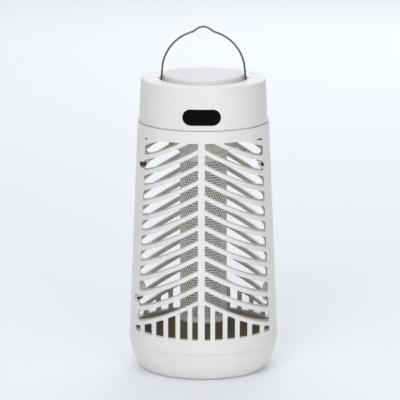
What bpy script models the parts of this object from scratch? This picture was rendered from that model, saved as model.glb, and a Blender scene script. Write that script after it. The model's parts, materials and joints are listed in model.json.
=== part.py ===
"""Portable electric bug zapper: a tapered slatted tower on a twist-off insect tray, with a capped top,
a press-top switch and a wire bail. Metres, +Z up, origin on the ground at the middle of the foot.

The front faces -Y. The slatted body is two equal die-drawn shells that meet on the plane Y = 0.
"""

import math

import bmesh
import bpy
from mathutils import Vector

MM = 0.001
GAP = 0.3 * MM              # clearance that touching pieces keep
TURN_STEPS = 40             # facets round the large turned shells
SMALL_STEPS = 24            # facets round small turned pieces
BORE_STEPS = 12             # facets round screws and their holes

# Tower and seams
TRAY_RIM_Z = 23.3 * MM
GRILLE_LOW_Z = 23.7 * MM
GRILLE_TOP_Z = 200.4 * MM
CAP_LOW_Z = 200.9 * MM
CAP_TOP_Z = 235.0 * MM
GRILLE_FOOT_R = 59.4 * MM   # outer radius of the tower at TAPER_Z
TAPER_Z = 27.0 * MM
TAPER = 0.0409              # radius lost per unit of height
GRILLE_WALL = 2.4 * MM
SLAT_DEPTH = 4.4 * MM       # thickness of the wall over the slats
SLAT_ZONE = (32.5 * MM, 192.5 * MM)     # heights that the thicker wall spans
CAP_LOW_R = 51.2 * MM
CAP_TAPER = 0.0465
CAP_WALL = 2.2 * MM
CAP_EDGE_R = 2.0 * MM       # rounding of the cap's top edge

# Slatted windows of each half shell
WINDOW_COUNT = 10           # whole windows each side of the centre rib
PART_WINDOWS = 3            # more above them, which the top band cuts short
WINDOW_TOP_Z = 182.9 * MM   # top of the first whole window at the centre rib
WINDOW_PITCH = 12.02 * MM
WINDOW_HEIGHT = 8.3 * MM
TOP_BAND_Z = 191.2 * MM
RIB_HALF = 2.7 * MM
SLAT_SLOPE = 0.56           # fall of a slat per unit of distance from the centre
SLAT_BEND = 1.3             # how fast that slope eases, per metre
COLUMN = {-1: 7.6 * MM, 1: 5.6 * MM}    # solid margin of a half shell at its -X and +X side
LOW_SLAT = 3.0 * MM         # height of the lowest slanted slat
BOTTOM_BAND_Z = 34.6 * MM
FIRST_BAR_X = 9.0 * MM      # upright bars under the lowest slat
BAR_PITCH = 9.65 * MM
BAR_WIDTH = 3.7 * MM
BAR_COUNT = 5
BAR_ZONE_X = 53.4 * MM
CUT_OUT = 6.0 * MM          # how far a window's cutter reaches out of the wall, and into it
CUT_IN = 14.0 * MM

# Body screws: X and height of each level
SCREW_LEVELS = ((47.2 * MM, 169.0 * MM), (50.9 * MM, 61.1 * MM))
BOSS_R = 3.4 * MM
BOSS_FACE_Y = 19.0 * MM
HEAD_R = 2.6 * MM
SHANK_R = 1.15 * MM
HEAD_SEAT_Y = 15.0 * MM

# Top switch and its well
WELL_R = 35.0 * MM
WELL_FLOOR_Z = 230.0 * MM
BUTTON_R = 31.6 * MM
BUTTON_TOP_Z = 238.1 * MM
BUTTON_SKIRT_Z = 231.6 * MM
STEM_LOW_Z = 226.6 * MM     # 1.3 mm over the switch, which leaves room for 1.2 mm of travel
STEM_R = 3.6 * MM

# Wire bail
WIRE_R = 0.75 * MM
BAIL_PIVOT_Z = 233.0 * MM
BAIL_LEG_X = 33.2 * MM
BAIL_ARC_R = 32.8 * MM
BAIL_ARC_Z = 240.0 * MM
BAIL_TOP_Z = 276.6 * MM
HUMP_HALF = 8.8 * MM

# Front window
WINDOW_LENS_Z = 211.6 * MM
LENS_W = 29.7 * MM
LENS_H = 12.3 * MM
SOCKET_W = 9.0 * MM
SOCKET_H = 3.2 * MM
CAP_SCREW_R = 43.0 * MM     # circle of the screws that hold the lamp holder to the cap
CELL_R = 9.2 * MM
CELL_LENGTH = 65.0 * MM
CELL_Y = 10.0 * MM
CELL_Z = 212.4 * MM

# Lamp column
HOLDER_R = 27.6 * MM
HOLDER_LOW_Z = 180.0 * MM
MESH_R = 19.2 * MM
MESH_WALL = 0.5 * MM
MESH_LOW_Z = 40.3 * MM
INNER_MESH_R = 14.6 * MM
UPPER_SPIGOT_Z = 170.0 * MM
UPPER_FLANGE_Z = 176.2 * MM
LOWER_SPIGOT = 3.0 * MM     # how far the lower insulator reaches up into the outer mesh
LOWER_FLANGE = 1.2 * MM
LAMP_R = 9.0 * MM

# Tray
TRAY_ARC_R = 18.0 * MM      # reach of the rounded side, outward and downward
TRAY_ARC_DROP = 29.8 * MM
TRAY_ARC_Z = 27.0 * MM
TRAY_SIDE_R = 59.0 * MM
TRAY_FLOOR_Z = 1.2 * MM
TRAY_WALL = 2.2 * MM
FOOT_GROOVE = 0.8 * MM
FOOT_R = (33.0 * MM, 38.0 * MM)
COLLAR_R = 54.6 * MM
COLLAR_TOP_Z = 28.5 * MM
HOOK_Z = 25.05 * MM
LUG_Z = 26.85 * MM
LATCH_LENGTH = 12.0 * MM    # of hooks and lugs, round the collar
LATCH_HEIGHT = 1.5 * MM
QUARTERS = (45, 135, 225, 315)

PARTS = None
CUTTERS = None


# ---------------------------------------------------------------- scene and materials

def clear_scene():
    for obj in list(bpy.data.objects):
        bpy.data.objects.remove(obj, do_unlink=True)


def new_collection(name):
    collection = bpy.data.collections.new(name)
    bpy.context.scene.collection.children.link(collection)
    return collection


def material(name, colour, roughness, metallic=0.0):
    found = bpy.data.materials.get(name)
    if found:
        return found
    made = bpy.data.materials.new(name)
    made.use_nodes = True
    shader = made.node_tree.nodes["Principled BSDF"]
    shader.inputs["Base Color"].default_value = (*colour, 1.0)
    shader.inputs["Roughness"].default_value = roughness
    shader.inputs["Metallic"].default_value = metallic
    return made


def body_plastic():
    return material("body_plastic", (0.80, 0.79, 0.77), 0.35)


def grey_plastic():
    return material("grey_plastic", (0.72, 0.71, 0.67), 0.5)


def black_plastic():
    return material("black_plastic", (0.012, 0.012, 0.013), 0.12)


def steel():
    return material("steel_wire", (0.33, 0.32, 0.29), 0.35, 1.0)


def mesh_steel():
    return material("mesh_steel", (0.50, 0.49, 0.45), 0.4, 1.0)


def brass():
    return material("brass", (0.62, 0.46, 0.22), 0.35, 1.0)


def board_green():
    return material("board_green", (0.03, 0.16, 0.08), 0.5)


def rubber():
    return material("rubber", (0.10, 0.10, 0.10), 0.8)


# ---------------------------------------------------------------- makers

def add_object(name, mesh, surface):
    obj = bpy.data.objects.new(name, mesh)
    PARTS.objects.link(obj)
    if surface:
        mesh.materials.append(surface)
    return obj


def as_cutter(obj):
    """Moves an object to the cutters, which stay out of the render."""
    for owner in list(obj.users_collection):
        owner.objects.unlink(obj)
    CUTTERS.objects.link(obj)
    obj.hide_render = True
    obj.display_type = "WIRE"
    return obj


def turned(name, profile, surface, steps=TURN_STEPS, closed=True):
    """Turns a profile of (radius, height) about Z. It runs down the outer side and up the inner one."""
    mesh = bpy.data.meshes.new(name)
    points = [(r, 0.0, z) for r, z in profile]
    count = len(points)
    edges = [(i, i + 1) for i in range(count - 1)]
    if closed:
        edges.append((count - 1, 0))
    mesh.from_pydata(points, edges, [])
    obj = add_object(name, mesh, surface)
    screw = obj.modifiers.new("turn", "SCREW")
    screw.steps = steps
    screw.render_steps = steps
    screw.use_merge_vertices = True
    screw.merge_threshold = 1e-6
    return obj


def arc(centre_r, centre_z, reach_r, reach_z, start, end, steps):
    """Points on an ellipse arc, angles in degrees from the outward direction."""
    points = []
    for i in range(steps + 1):
        angle = math.radians(start + (end - start) * i / steps)
        points.append((centre_r + reach_r * math.cos(angle), centre_z + reach_z * math.sin(angle)))
    return points


def polar(radius, degrees, z):
    angle = math.radians(degrees)
    return (radius * math.cos(angle), radius * math.sin(angle), z)


def cylinder(name, radius, length, centre, axis, surface, steps=SMALL_STEPS):
    mesh = bpy.data.meshes.new(name)
    shape = bmesh.new()
    bmesh.ops.create_cone(shape, cap_ends=True, segments=steps, radius1=radius, radius2=radius, depth=length)
    shape.to_mesh(mesh)
    shape.free()
    obj = add_object(name, mesh, surface)
    obj.location = centre
    obj.rotation_euler = Vector(axis).to_track_quat("Z", "Y").to_euler()
    return obj


def block(name, size, centre, surface, turn=0.0):
    """A box of the given size, turned about Z by the given degrees."""
    mesh = bpy.data.meshes.new(name)
    shape = bmesh.new()
    bmesh.ops.create_cube(shape, size=1.0)
    bmesh.ops.scale(shape, vec=size, verts=shape.verts)
    shape.to_mesh(mesh)
    shape.free()
    obj = add_object(name, mesh, surface)
    obj.location = centre
    obj.rotation_euler = (0.0, 0.0, math.radians(turn))
    return obj


def prism(name, outlines, low_y, high_y, surface=None):
    """Straight prisms along Y on outlines of (x, z) points, all in one object."""
    mesh = bpy.data.meshes.new(name)
    shape = bmesh.new()
    for outline in outlines:
        face = shape.faces.new([shape.verts.new((x, low_y, z)) for x, z in outline])
        grown = bmesh.ops.extrude_face_region(shape, geom=[face])
        moved = [item for item in grown["geom"] if isinstance(item, bmesh.types.BMVert)]
        bmesh.ops.translate(shape, vec=(0.0, high_y - low_y, 0.0), verts=moved)
    bmesh.ops.recalc_face_normals(shape, faces=shape.faces)
    shape.to_mesh(mesh)
    shape.free()
    return add_object(name, mesh, surface)


def boolean(obj, other, operation):
    """Adds a Boolean with another object, which becomes a cutter."""
    as_cutter(other)
    step = obj.modifiers.new(operation.lower(), "BOOLEAN")
    step.operation = operation
    step.object = other


def cut(obj, *others):
    for other in others:
        boolean(obj, other, "DIFFERENCE")


def join(obj, *others):
    for other in others:
        boolean(obj, other, "UNION")


def frozen_mesh(obj):
    """The mesh that an object's modifiers make, with loose curve caps welded."""
    bpy.context.view_layer.update()
    graph = bpy.context.evaluated_depsgraph_get()
    mesh = bpy.data.meshes.new_from_object(obj.evaluated_get(graph))
    shape = bmesh.new()
    shape.from_mesh(mesh)
    bmesh.ops.remove_doubles(shape, verts=shape.verts, dist=1e-7)
    shape.to_mesh(mesh)
    shape.free()
    return mesh


def smooth(obj):
    obj.data.shade_smooth()
    obj.data.set_sharp_from_angle(angle=math.radians(35))


def wire(name, points, radius, surface):
    """A round wire along the points, with closed ends."""
    curve = bpy.data.curves.new(name, "CURVE")
    curve.dimensions = "3D"
    curve.bevel_depth = radius
    curve.bevel_resolution = 2
    curve.use_fill_caps = True
    spline = curve.splines.new("POLY")
    spline.points.add(len(points) - 1)
    for point, place in zip(spline.points, points):
        point.co = (*place, 1.0)
    curve.materials.append(surface)
    obj = bpy.data.objects.new(name, curve)
    PARTS.objects.link(obj)
    return obj


# ---------------------------------------------------------------- slatted body

def tower_radius(z):
    return GRILLE_FOOT_R - TAPER * (z - TAPER_Z)


def slat_line(z_at_rib, x):
    """Height at distance x from the centre of an edge that leaves the rib at z_at_rib."""
    return z_at_rib - SLAT_SLOPE * (x - RIB_HALF) + SLAT_BEND * (x * x - RIB_HALF * RIB_HALF)


def slat_reach(z_at_rib, z):
    """Distance from the centre at which such an edge has come down to height z."""
    fall = z_at_rib - z + SLAT_SLOPE * RIB_HALF - SLAT_BEND * RIB_HALF * RIB_HALF
    return (SLAT_SLOPE - math.sqrt(SLAT_SLOPE ** 2 - 4 * SLAT_BEND * fall)) / (2 * SLAT_BEND)


def window_stations(index, side, steps=5):
    """One slanted window, cut short by the top band: (distance from the centre, low edge, high edge)."""
    top = WINDOW_TOP_Z - WINDOW_PITCH * index
    bottom = top - WINDOW_HEIGHT
    start = RIB_HALF if bottom < TOP_BAND_Z else slat_reach(bottom, TOP_BAND_Z)
    end_z = slat_line(top - WINDOW_HEIGHT / 2, tower_radius(top) - COLUMN[side])
    end = tower_radius(end_z) - COLUMN[side]
    places = [start + (end - start) * i / steps for i in range(steps + 1)]
    if top > TOP_BAND_Z:
        kink = slat_reach(top, TOP_BAND_Z)
        if start < kink < end:
            places = sorted(places + [kink])
    return [(x, slat_line(bottom, x), min(slat_line(top, x), TOP_BAND_Z)) for x in places]


def bar_windows():
    """Windows between the upright bars, under the lowest slanted slat."""
    slat_under = WINDOW_TOP_Z - WINDOW_PITCH * (WINDOW_COUNT - 1) - WINDOW_HEIGHT - LOW_SLAT
    low_edges = [RIB_HALF] + [FIRST_BAR_X + BAR_PITCH * i + BAR_WIDTH / 2 for i in range(BAR_COUNT)]
    high_edges = [FIRST_BAR_X + BAR_PITCH * i - BAR_WIDTH / 2 for i in range(BAR_COUNT)] + [BAR_ZONE_X]
    return [
        [(x, BOTTOM_BAND_Z, slat_line(slat_under, x)) for x in edges]
        for edges in zip(low_edges, high_edges)
    ]


def slot_ring(shape, side, station):
    """The four corners of a slot's cutter at one station, from outside the wall to inside it."""
    x, low, high = station
    corners = []
    for inward, z in ((-CUT_OUT, low), (-CUT_OUT, high), (CUT_IN, high), (CUT_IN, low)):
        corners.append(shape.verts.new((side * x, inward - wall_depth(x, z), z)))
    return corners


def slot_cutters():
    """Cutters of all the windows, which follow the wall round."""
    mesh = bpy.data.meshes.new("slot_cutters")
    shape = bmesh.new()
    for side in (-1, 1):
        slanted = [window_stations(i, side) for i in range(-PART_WINDOWS, WINDOW_COUNT)]
        for stations in slanted + bar_windows():
            rings = [slot_ring(shape, side, station) for station in stations]
            shape.faces.new(rings[0])
            shape.faces.new(rings[-1][::-1])
            for near, far in zip(rings, rings[1:]):
                for i in range(4):
                    shape.faces.new((near[i - 1], far[i - 1], far[i], near[i]))
    bmesh.ops.remove_doubles(shape, verts=shape.verts, dist=1e-7)
    bmesh.ops.recalc_face_normals(shape, faces=shape.faces)
    bmesh.ops.triangulate(shape, faces=shape.faces)
    shape.to_mesh(mesh)
    shape.free()
    return add_object("slot_cutters", mesh, None)


def wall_depth(x, z):
    """Depth of the wall's outer face in front of the plane Y = 0."""
    return math.sqrt(tower_radius(z) ** 2 - x * x)


def shell_profile():
    """Section of the body wall, with the ledge that carries the lamp holder's flange."""
    ledge_r = 47.6 * MM
    ledge_low = 195.6 * MM
    ledge_top = 198.3 * MM
    thick_low, thick_high = SLAT_ZONE
    lead = 2.0 * MM
    inner = [
        (tower_radius(GRILLE_LOW_Z) - GRILLE_WALL, GRILLE_LOW_Z),
        (tower_radius(thick_low - lead) - GRILLE_WALL, thick_low - lead),
        (tower_radius(thick_low) - SLAT_DEPTH, thick_low),
        (tower_radius(thick_high) - SLAT_DEPTH, thick_high),
        (tower_radius(ledge_low) - GRILLE_WALL, ledge_low),
        (ledge_r, ledge_low + 1.2 * MM),
        (ledge_r, ledge_top),
        (tower_radius(ledge_top) - GRILLE_WALL, ledge_top),
        (tower_radius(GRILLE_TOP_Z) - GRILLE_WALL, GRILLE_TOP_Z),
    ]
    outer = [(tower_radius(GRILLE_TOP_Z), GRILLE_TOP_Z), (tower_radius(GRILLE_LOW_Z), GRILLE_LOW_Z)]
    return outer + inner


def boss(name, x, z):
    """A screw boss of the front shell with the web that ties it to the side column."""
    depth = BOSS_FACE_Y - GAP / 2
    post = cylinder(name, BOSS_R, depth, (x, -GAP / 2 - depth / 2, z), (0, 1, 0), None, 16)
    outward = math.copysign(1.0, x)
    reach = tower_radius(z) - 1.2 * MM - abs(x)
    web_depth = 9.0 * MM
    centre = (x + outward * reach / 2, -GAP / 2 - web_depth / 2 - 0.05 * MM, z)
    join(post, block(name + "_web", (reach, web_depth, 2.4 * MM), centre, None))
    return post


def bore(radius, length, centre, axis):
    return cylinder("bore", radius, length, centre, axis, None, BORE_STEPS)


def front_shell():
    shell = turned("front_grille", shell_profile(), body_plastic())
    half_space = block("half_space", (0.2, 0.1, 0.4), (0, 0.05 - GAP / 2, 0.1), None)
    cut(shell, half_space, slot_cutters())
    for x, z in SCREW_LEVELS:
        for side in (-1, 1):
            join(shell, boss(f"boss_{side}_{z:.3f}", side * x, z))
        cut(shell, bore(HEAD_R + 0.15 * MM, 20 * MM, (-x, -HEAD_SEAT_Y - 10 * MM, z), (0, 1, 0)))
        cut(shell, bore(SHANK_R + 0.35 * MM, 60 * MM, (-x, -20 * MM, z), (0, 1, 0)))
        cut(shell, bore(SHANK_R + GAP, 60 * MM, (x, -20 * MM, z), (0, 1, 0)))
    for angle in QUARTERS[2:]:
        join(shell, ring_block("hook", 56.6 * MM, HOOK_Z, (2.8 * MM, LATCH_LENGTH, LATCH_HEIGHT), angle))
    return shell


def ring_block(name, radius, z, size, angle):
    """A block on a circle about Z: size is (radial, tangential, vertical)."""
    return block(name, size, polar(radius, angle, z), None, angle)


def grille_halves():
    """Front shell, and the same shell turned half a turn about Z for the rear."""
    shell = front_shell()
    mesh = frozen_mesh(shell)
    bpy.data.objects.remove(shell)
    for name, turn in (("front_grille", 0.0), ("rear_grille", math.pi)):
        half = bpy.data.objects.new(name, mesh)
        half.rotation_euler = (0.0, 0.0, turn)
        PARTS.objects.link(half)


def pan_screw(name, head_centre, towards, head_r, head_h, shank_length):
    """A screw with its head's outer face centre given, and the way that its tip points."""
    profile = [
        (0.0, 0.0), (head_r * 0.72, 0.0), (head_r, -head_h * 0.45), (head_r, -head_h),
        (SHANK_R, -head_h), (SHANK_R, -head_h - shank_length * 0.9), (0.0, -head_h - shank_length),
    ]
    screw = turned(name, profile, brass(), BORE_STEPS, closed=False)
    screw.location = head_centre
    screw.rotation_euler = (-Vector(towards)).to_track_quat("Z", "Y").to_euler()
    drive = block(name + "_drive", (head_r * 1.3, 0.5 * MM, 1.0 * MM), (0, 0, 0), None)
    drive.parent = screw
    cut(screw, drive)
    return screw


def body_screws():
    number = 1
    for x, z in SCREW_LEVELS:
        for side in (-1, 1):
            face_y = side * (HEAD_SEAT_Y + GAP + 2.0 * MM)
            place = (side * x, face_y, z)
            pan_screw(f"body_screw_{number}", place, (0, -side, 0), 2.5 * MM, 2.0 * MM, 26 * MM)
            number += 1


# ---------------------------------------------------------------- cap, switch and bail

def cap_radius(z):
    return CAP_LOW_R - CAP_TAPER * (z - CAP_LOW_Z)


def cap_profile():
    edge_z = CAP_TOP_Z - CAP_EDGE_R
    edge_r = cap_radius(edge_z) - CAP_EDGE_R
    under_z = CAP_TOP_Z - CAP_WALL
    well_wall = 2.0 * MM
    floor_low = WELL_FLOOR_Z - 1.6 * MM
    points = [(WELL_R, CAP_TOP_Z - 0.8 * MM), (WELL_R + 0.8 * MM, CAP_TOP_Z)]
    points += arc(edge_r, edge_z, CAP_EDGE_R, CAP_EDGE_R, 90, 0, 4)
    points += [
        (cap_radius(CAP_LOW_Z), CAP_LOW_Z),
        (46.8 * MM, CAP_LOW_Z),
        (46.8 * MM, CAP_LOW_Z + 1.6 * MM),
        (cap_radius(CAP_LOW_Z) - CAP_WALL, CAP_LOW_Z + 2.6 * MM),
        (cap_radius(under_z) - CAP_WALL, under_z),
        (WELL_R + well_wall, under_z),
        (WELL_R + well_wall, floor_low),
        (STEM_R + 0.4 * MM, floor_low),
        (STEM_R + 0.4 * MM, WELL_FLOOR_Z),
        (WELL_R, WELL_FLOOR_Z),
    ]
    return points


def obround(width, height, centre_z, grow=0.0, steps=8):
    """Outline of a rounded slot in the XZ plane, enlarged by grow all round."""
    radius = height / 2 + grow
    half = (width - height) / 2
    points = []
    for side, first in ((1, -90), (-1, 90)):
        for i in range(steps + 1):
            angle = math.radians(first + 180 * i / steps)
            points.append((side * half + radius * math.cos(angle), centre_z + radius * math.sin(angle)))
    return points


def cap_shell():
    cap = turned("cap_shell", cap_profile(), body_plastic())
    boss_top = CAP_TOP_Z - 1.0 * MM
    boss_low = CAP_LOW_Z + 0.1 * MM
    for angle in QUARTERS:
        centre = polar(CAP_SCREW_R, angle, (boss_top + boss_low) / 2)
        join(cap, cylinder("cap_boss", 3.4 * MM, boss_top - boss_low, centre, (0, 0, 1), None, BORE_STEPS))
        cut(cap, bore(SHANK_R + GAP, 24 * MM, polar(CAP_SCREW_R, angle, CAP_LOW_Z), (0, 0, 1)))
    cut(cap, prism("lens_hole", [obround(LENS_W, LENS_H, WINDOW_LENS_Z, GAP)], -0.06, -0.03))
    cut(cap, prism("socket_hole", [obround(SOCKET_W, SOCKET_H, WINDOW_LENS_Z, GAP, 4)], 0.03, 0.06))
    cut(cap, bore(WIRE_R + 0.25 * MM, 90 * MM, (0, 0, BAIL_PIVOT_Z), (1, 0, 0)))
    for side in (-1, 1):
        cut(cap, bore(2.0 * MM, 3.0 * MM, (side * 35.6 * MM, 0, CAP_TOP_Z + 0.2 * MM), (0, 0, 1)))
    return cap


def top_button():
    edge = 1.0 * MM
    inner_r = BUTTON_R - 1.8 * MM
    roof = BUTTON_TOP_Z - 2.0 * MM
    profile = [(0.0, BUTTON_TOP_Z)]
    profile += arc(BUTTON_R - edge, BUTTON_TOP_Z - edge, edge, edge, 90, 0, 3)
    profile += [
        (BUTTON_R, BUTTON_SKIRT_Z), (inner_r, BUTTON_SKIRT_Z), (inner_r, roof), (STEM_R, roof),
        (STEM_R, 228.2 * MM), (2.6 * MM, 228.2 * MM), (2.6 * MM, 227.2 * MM),
        (STEM_R, 227.2 * MM), (STEM_R, STEM_LOW_Z), (0.0, STEM_LOW_Z),
    ]
    return turned("top_button", profile, body_plastic(), TURN_STEPS, closed=False)


def button_clip():
    """C-shaped retaining clip in the stem's groove."""
    low, high = 227.4 * MM, 228.0 * MM
    profile = [(6.2 * MM, high), (6.2 * MM, low), (2.9 * MM, low), (2.9 * MM, high)]
    clip = turned("button_clip", profile, steel(), SMALL_STEPS)
    cut(clip, block("clip_mouth", (8 * MM, 3.6 * MM, 3 * MM), (6 * MM, 0, 227.7 * MM), None))
    return clip


def button_spring():
    turns, per_turn = 3, 12
    low = WELL_FLOOR_Z + 1.0 * MM
    high = BUTTON_TOP_Z - 2.0 * MM - 1.0 * MM
    points = []
    for i in range(turns * per_turn + 1):
        share = i / (turns * per_turn)
        angle = math.tau * turns * share
        points.append((6.0 * MM * math.cos(angle), 6.0 * MM * math.sin(angle), low + (high - low) * share))
    coil = wire("coil", points, 0.4 * MM, steel())
    mesh = frozen_mesh(coil)
    bpy.data.objects.remove(coil)
    return add_object("button_spring", mesh, None)


def bail_points():
    """Centre line of the bail from one hooked end over the hump to the other."""
    leg_x = BAIL_LEG_X
    foot = [
        (leg_x + 4.4 * MM, BAIL_PIVOT_Z),
        (leg_x + 1.2 * MM, BAIL_PIVOT_Z),
        (leg_x + 0.35 * MM, BAIL_PIVOT_Z + 0.35 * MM),
        (leg_x, BAIL_PIVOT_Z + 1.2 * MM),
    ]
    hump_start = math.degrees(math.acos(HUMP_HALF / BAIL_ARC_R))
    side = arc(0.0, BAIL_ARC_Z, BAIL_ARC_R, BAIL_ARC_R, 4, hump_start, 14)
    shoulder_z = side[-1][1]
    rise = BAIL_TOP_Z - WIRE_R - shoulder_z
    hump = []
    for i in range(1, 8):
        share = i / 8
        hump.append((HUMP_HALF * (1 - share), shoulder_z + rise * math.sin(share * math.pi / 2) ** 1.15))
    half = foot + side + hump
    whole = half + [(0.0, BAIL_TOP_Z - WIRE_R)] + [(-x, z) for x, z in reversed(half)]
    return [(x, 0.0, z) for x, z in whole]


def wire_bail():
    pivot = Vector((0, 0, BAIL_PIVOT_Z))
    rod = wire("bail_rod", [Vector(p) - pivot for p in bail_points()], WIRE_R, steel())
    mesh = frozen_mesh(rod)
    bpy.data.objects.remove(rod)
    bail = add_object("wire_bail", mesh, None)
    bail.location = pivot
    return bail


# ---------------------------------------------------------------- window, electronics and power

def indicator_window():
    """Gloss lens that follows the cap's wall."""
    outer = cap_radius(WINDOW_LENS_Z) - 0.35 * MM
    half = 8 * MM
    low, high = WINDOW_LENS_Z - half, WINDOW_LENS_Z + half
    lean = CAP_TAPER * half
    profile = [(outer - lean, high), (outer + lean, low), (46 * MM, low), (46 * MM, high)]
    lens = turned("indicator_window", profile, black_plastic())
    boolean(lens, prism("lens_outline", [obround(LENS_W, LENS_H, WINDOW_LENS_Z)], -0.06, -0.03), "INTERSECT")
    return lens


def electronics():
    board = cylinder("control_board", 30 * MM, 1.6 * MM, (0, 0, 223.1 * MM), (0, 0, 1), board_green(), 48)
    cut(board, bore(3 * MM, 4 * MM, (0, 24 * MM, 223.1 * MM), (0, 0, 1)))
    block("tact_switch", (6 * MM, 6 * MM, 1.1 * MM), (0, 0, 224.75 * MM), black_plastic())
    block("indicator_board", (26 * MM, 1.2 * MM, 10 * MM), (0, -41.4 * MM, WINDOW_LENS_Z), board_green())
    block("charge_board", (16 * MM, 12 * MM, 1.0 * MM), (0, 39.0 * MM, 209.0 * MM), board_green())
    block("hv_module", (34 * MM, 24 * MM, 12 * MM), (0, 0, 190.0 * MM), black_plastic())


def usb_socket():
    """Shell of a charging socket in the cap's rear wall, open at its mouth."""
    outside = obround(SOCKET_W, SOCKET_H, WINDOW_LENS_Z, 0.0, 4)
    inside = obround(SOCKET_W, SOCKET_H, WINDOW_LENS_Z, -0.4 * MM, 4)
    shell = prism("usb_socket", [outside], 41.5 * MM, 50.0 * MM, steel())
    cut(shell, prism("socket_mouth", [inside], 42.5 * MM, 52.0 * MM))


def battery_pack():
    wrap = material("cell_wrap", (0.05, 0.16, 0.42), 0.35)
    bracket = block("battery_bracket", (74 * MM, 42 * MM, 7.5 * MM), (0, 0, 205.3 * MM), grey_plastic())
    for number, y in ((1, -CELL_Y), (2, CELL_Y)):
        cell = cylinder(f"battery_cell_{number}", CELL_R, CELL_LENGTH, (0, y, CELL_Z), (1, 0, 0), wrap)
        nub = cylinder("cell_nub", 3 * MM, 3 * MM, (CELL_LENGTH / 2, y, CELL_Z), (1, 0, 0), None, BORE_STEPS)
        join(cell, nub)
        bed = cylinder("cell_bed", CELL_R + GAP, CELL_LENGTH + 4 * MM, (0, y, CELL_Z), (1, 0, 0), None)
        cut(bracket, bed)


# ---------------------------------------------------------------- lamp column

def upper_holder():
    flange_low, flange_top = 198.6 * MM, 200.6 * MM
    profile = [
        (49.3 * MM, flange_top), (49.3 * MM, flange_low), (HOLDER_R, flange_low), (HOLDER_R, HOLDER_LOW_Z),
        (10.5 * MM, HOLDER_LOW_Z), (10.5 * MM, HOLDER_LOW_Z + 2.0 * MM),
        (HOLDER_R - 2.0 * MM, HOLDER_LOW_Z + 2.0 * MM),
        (HOLDER_R - 2.0 * MM, flange_top),
    ]
    holder = turned("upper_holder", profile, grey_plastic())
    head_h = 1.8 * MM
    for number, angle in enumerate(QUARTERS, 1):
        cut(holder, bore(SHANK_R + 0.35 * MM, 6 * MM, polar(CAP_SCREW_R, angle, flange_low), (0, 0, 1)))
        place = polar(CAP_SCREW_R, angle, flange_low - GAP - head_h)
        pan_screw(f"cap_screw_{number}", place, (0, 0, 1), 2.3 * MM, head_h, 10 * MM)


def insulators():
    """Rings that centre the meshes and the lamp tube at the top and the bottom of the column."""
    flange_r = MESH_R + 0.6 * MM
    spigot_r = MESH_R - MESH_WALL - GAP
    bore_r = LAMP_R + GAP
    top = HOLDER_LOW_Z - GAP
    upper = [
        (flange_r, top), (flange_r, UPPER_FLANGE_Z), (spigot_r, UPPER_FLANGE_Z),
        (spigot_r, UPPER_SPIGOT_Z), (bore_r, UPPER_SPIGOT_Z), (bore_r, top),
    ]
    turned("upper_insulator", upper, grey_plastic(), 32)
    rim = MESH_LOW_Z - GAP
    low = rim - LOWER_FLANGE
    spigot_top = MESH_LOW_Z + LOWER_SPIGOT
    screw_hole = SHANK_R + GAP
    lower = [
        (bore_r, spigot_top), (spigot_r, spigot_top), (spigot_r, rim), (flange_r, rim),
        (flange_r, low), (screw_hole, low), (screw_hole, rim), (bore_r, rim),
    ]
    turned("lower_insulator", lower, grey_plastic(), 32)


def mesh_tube(name, radius, low, high):
    inner = radius - MESH_WALL
    turned(name, [(radius, high), (radius, low), (inner, low), (inner, high)], mesh_steel(), 32)


def electrodes():
    mesh_tube("outer_mesh", MESH_R, MESH_LOW_Z, UPPER_FLANGE_Z - GAP)
    mesh_tube("inner_mesh", INNER_MESH_R, MESH_LOW_Z + LOWER_SPIGOT + GAP, UPPER_SPIGOT_Z - GAP)


def lamp():
    low, high = MESH_LOW_Z, HOLDER_LOW_Z + 1.0 * MM
    wall = 1.2 * MM
    inner = LAMP_R - wall
    hole = SHANK_R + GAP
    diffuser = material("lamp_diffuser", (0.85, 0.85, 0.88), 0.4)
    tube = [(LAMP_R, high), (LAMP_R, low), (hole, low), (hole, low + wall), (inner, low + wall), (inner, high)]
    turned("lamp_tube", tube, diffuser, SMALL_STEPS)
    bar_low = low + wall + GAP
    bar_length = HOLDER_LOW_Z - bar_low
    bar = block("led_bar", (7 * MM, 7 * MM, bar_length), (0, 0, bar_low + bar_length / 2),
                material("led_bar", (0.8, 0.8, 0.78), 0.5))
    cut(bar, bore(SHANK_R + GAP, 20 * MM, (0, 0, bar_low), (0, 0, 1)))
    head_h = 1.5 * MM
    head_z = MESH_LOW_Z - GAP - LOWER_FLANGE - GAP - head_h
    pan_screw("end_screw", (0, 0, head_z), (0, 0, 1), 3.2 * MM, head_h, 10 * MM)


# ---------------------------------------------------------------- tray and foot

def tray_angle(z):
    """Angle on the rounded side's ellipse at height z, in degrees."""
    return math.degrees(math.asin((z - TRAY_ARC_Z) / TRAY_ARC_DROP))


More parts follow.
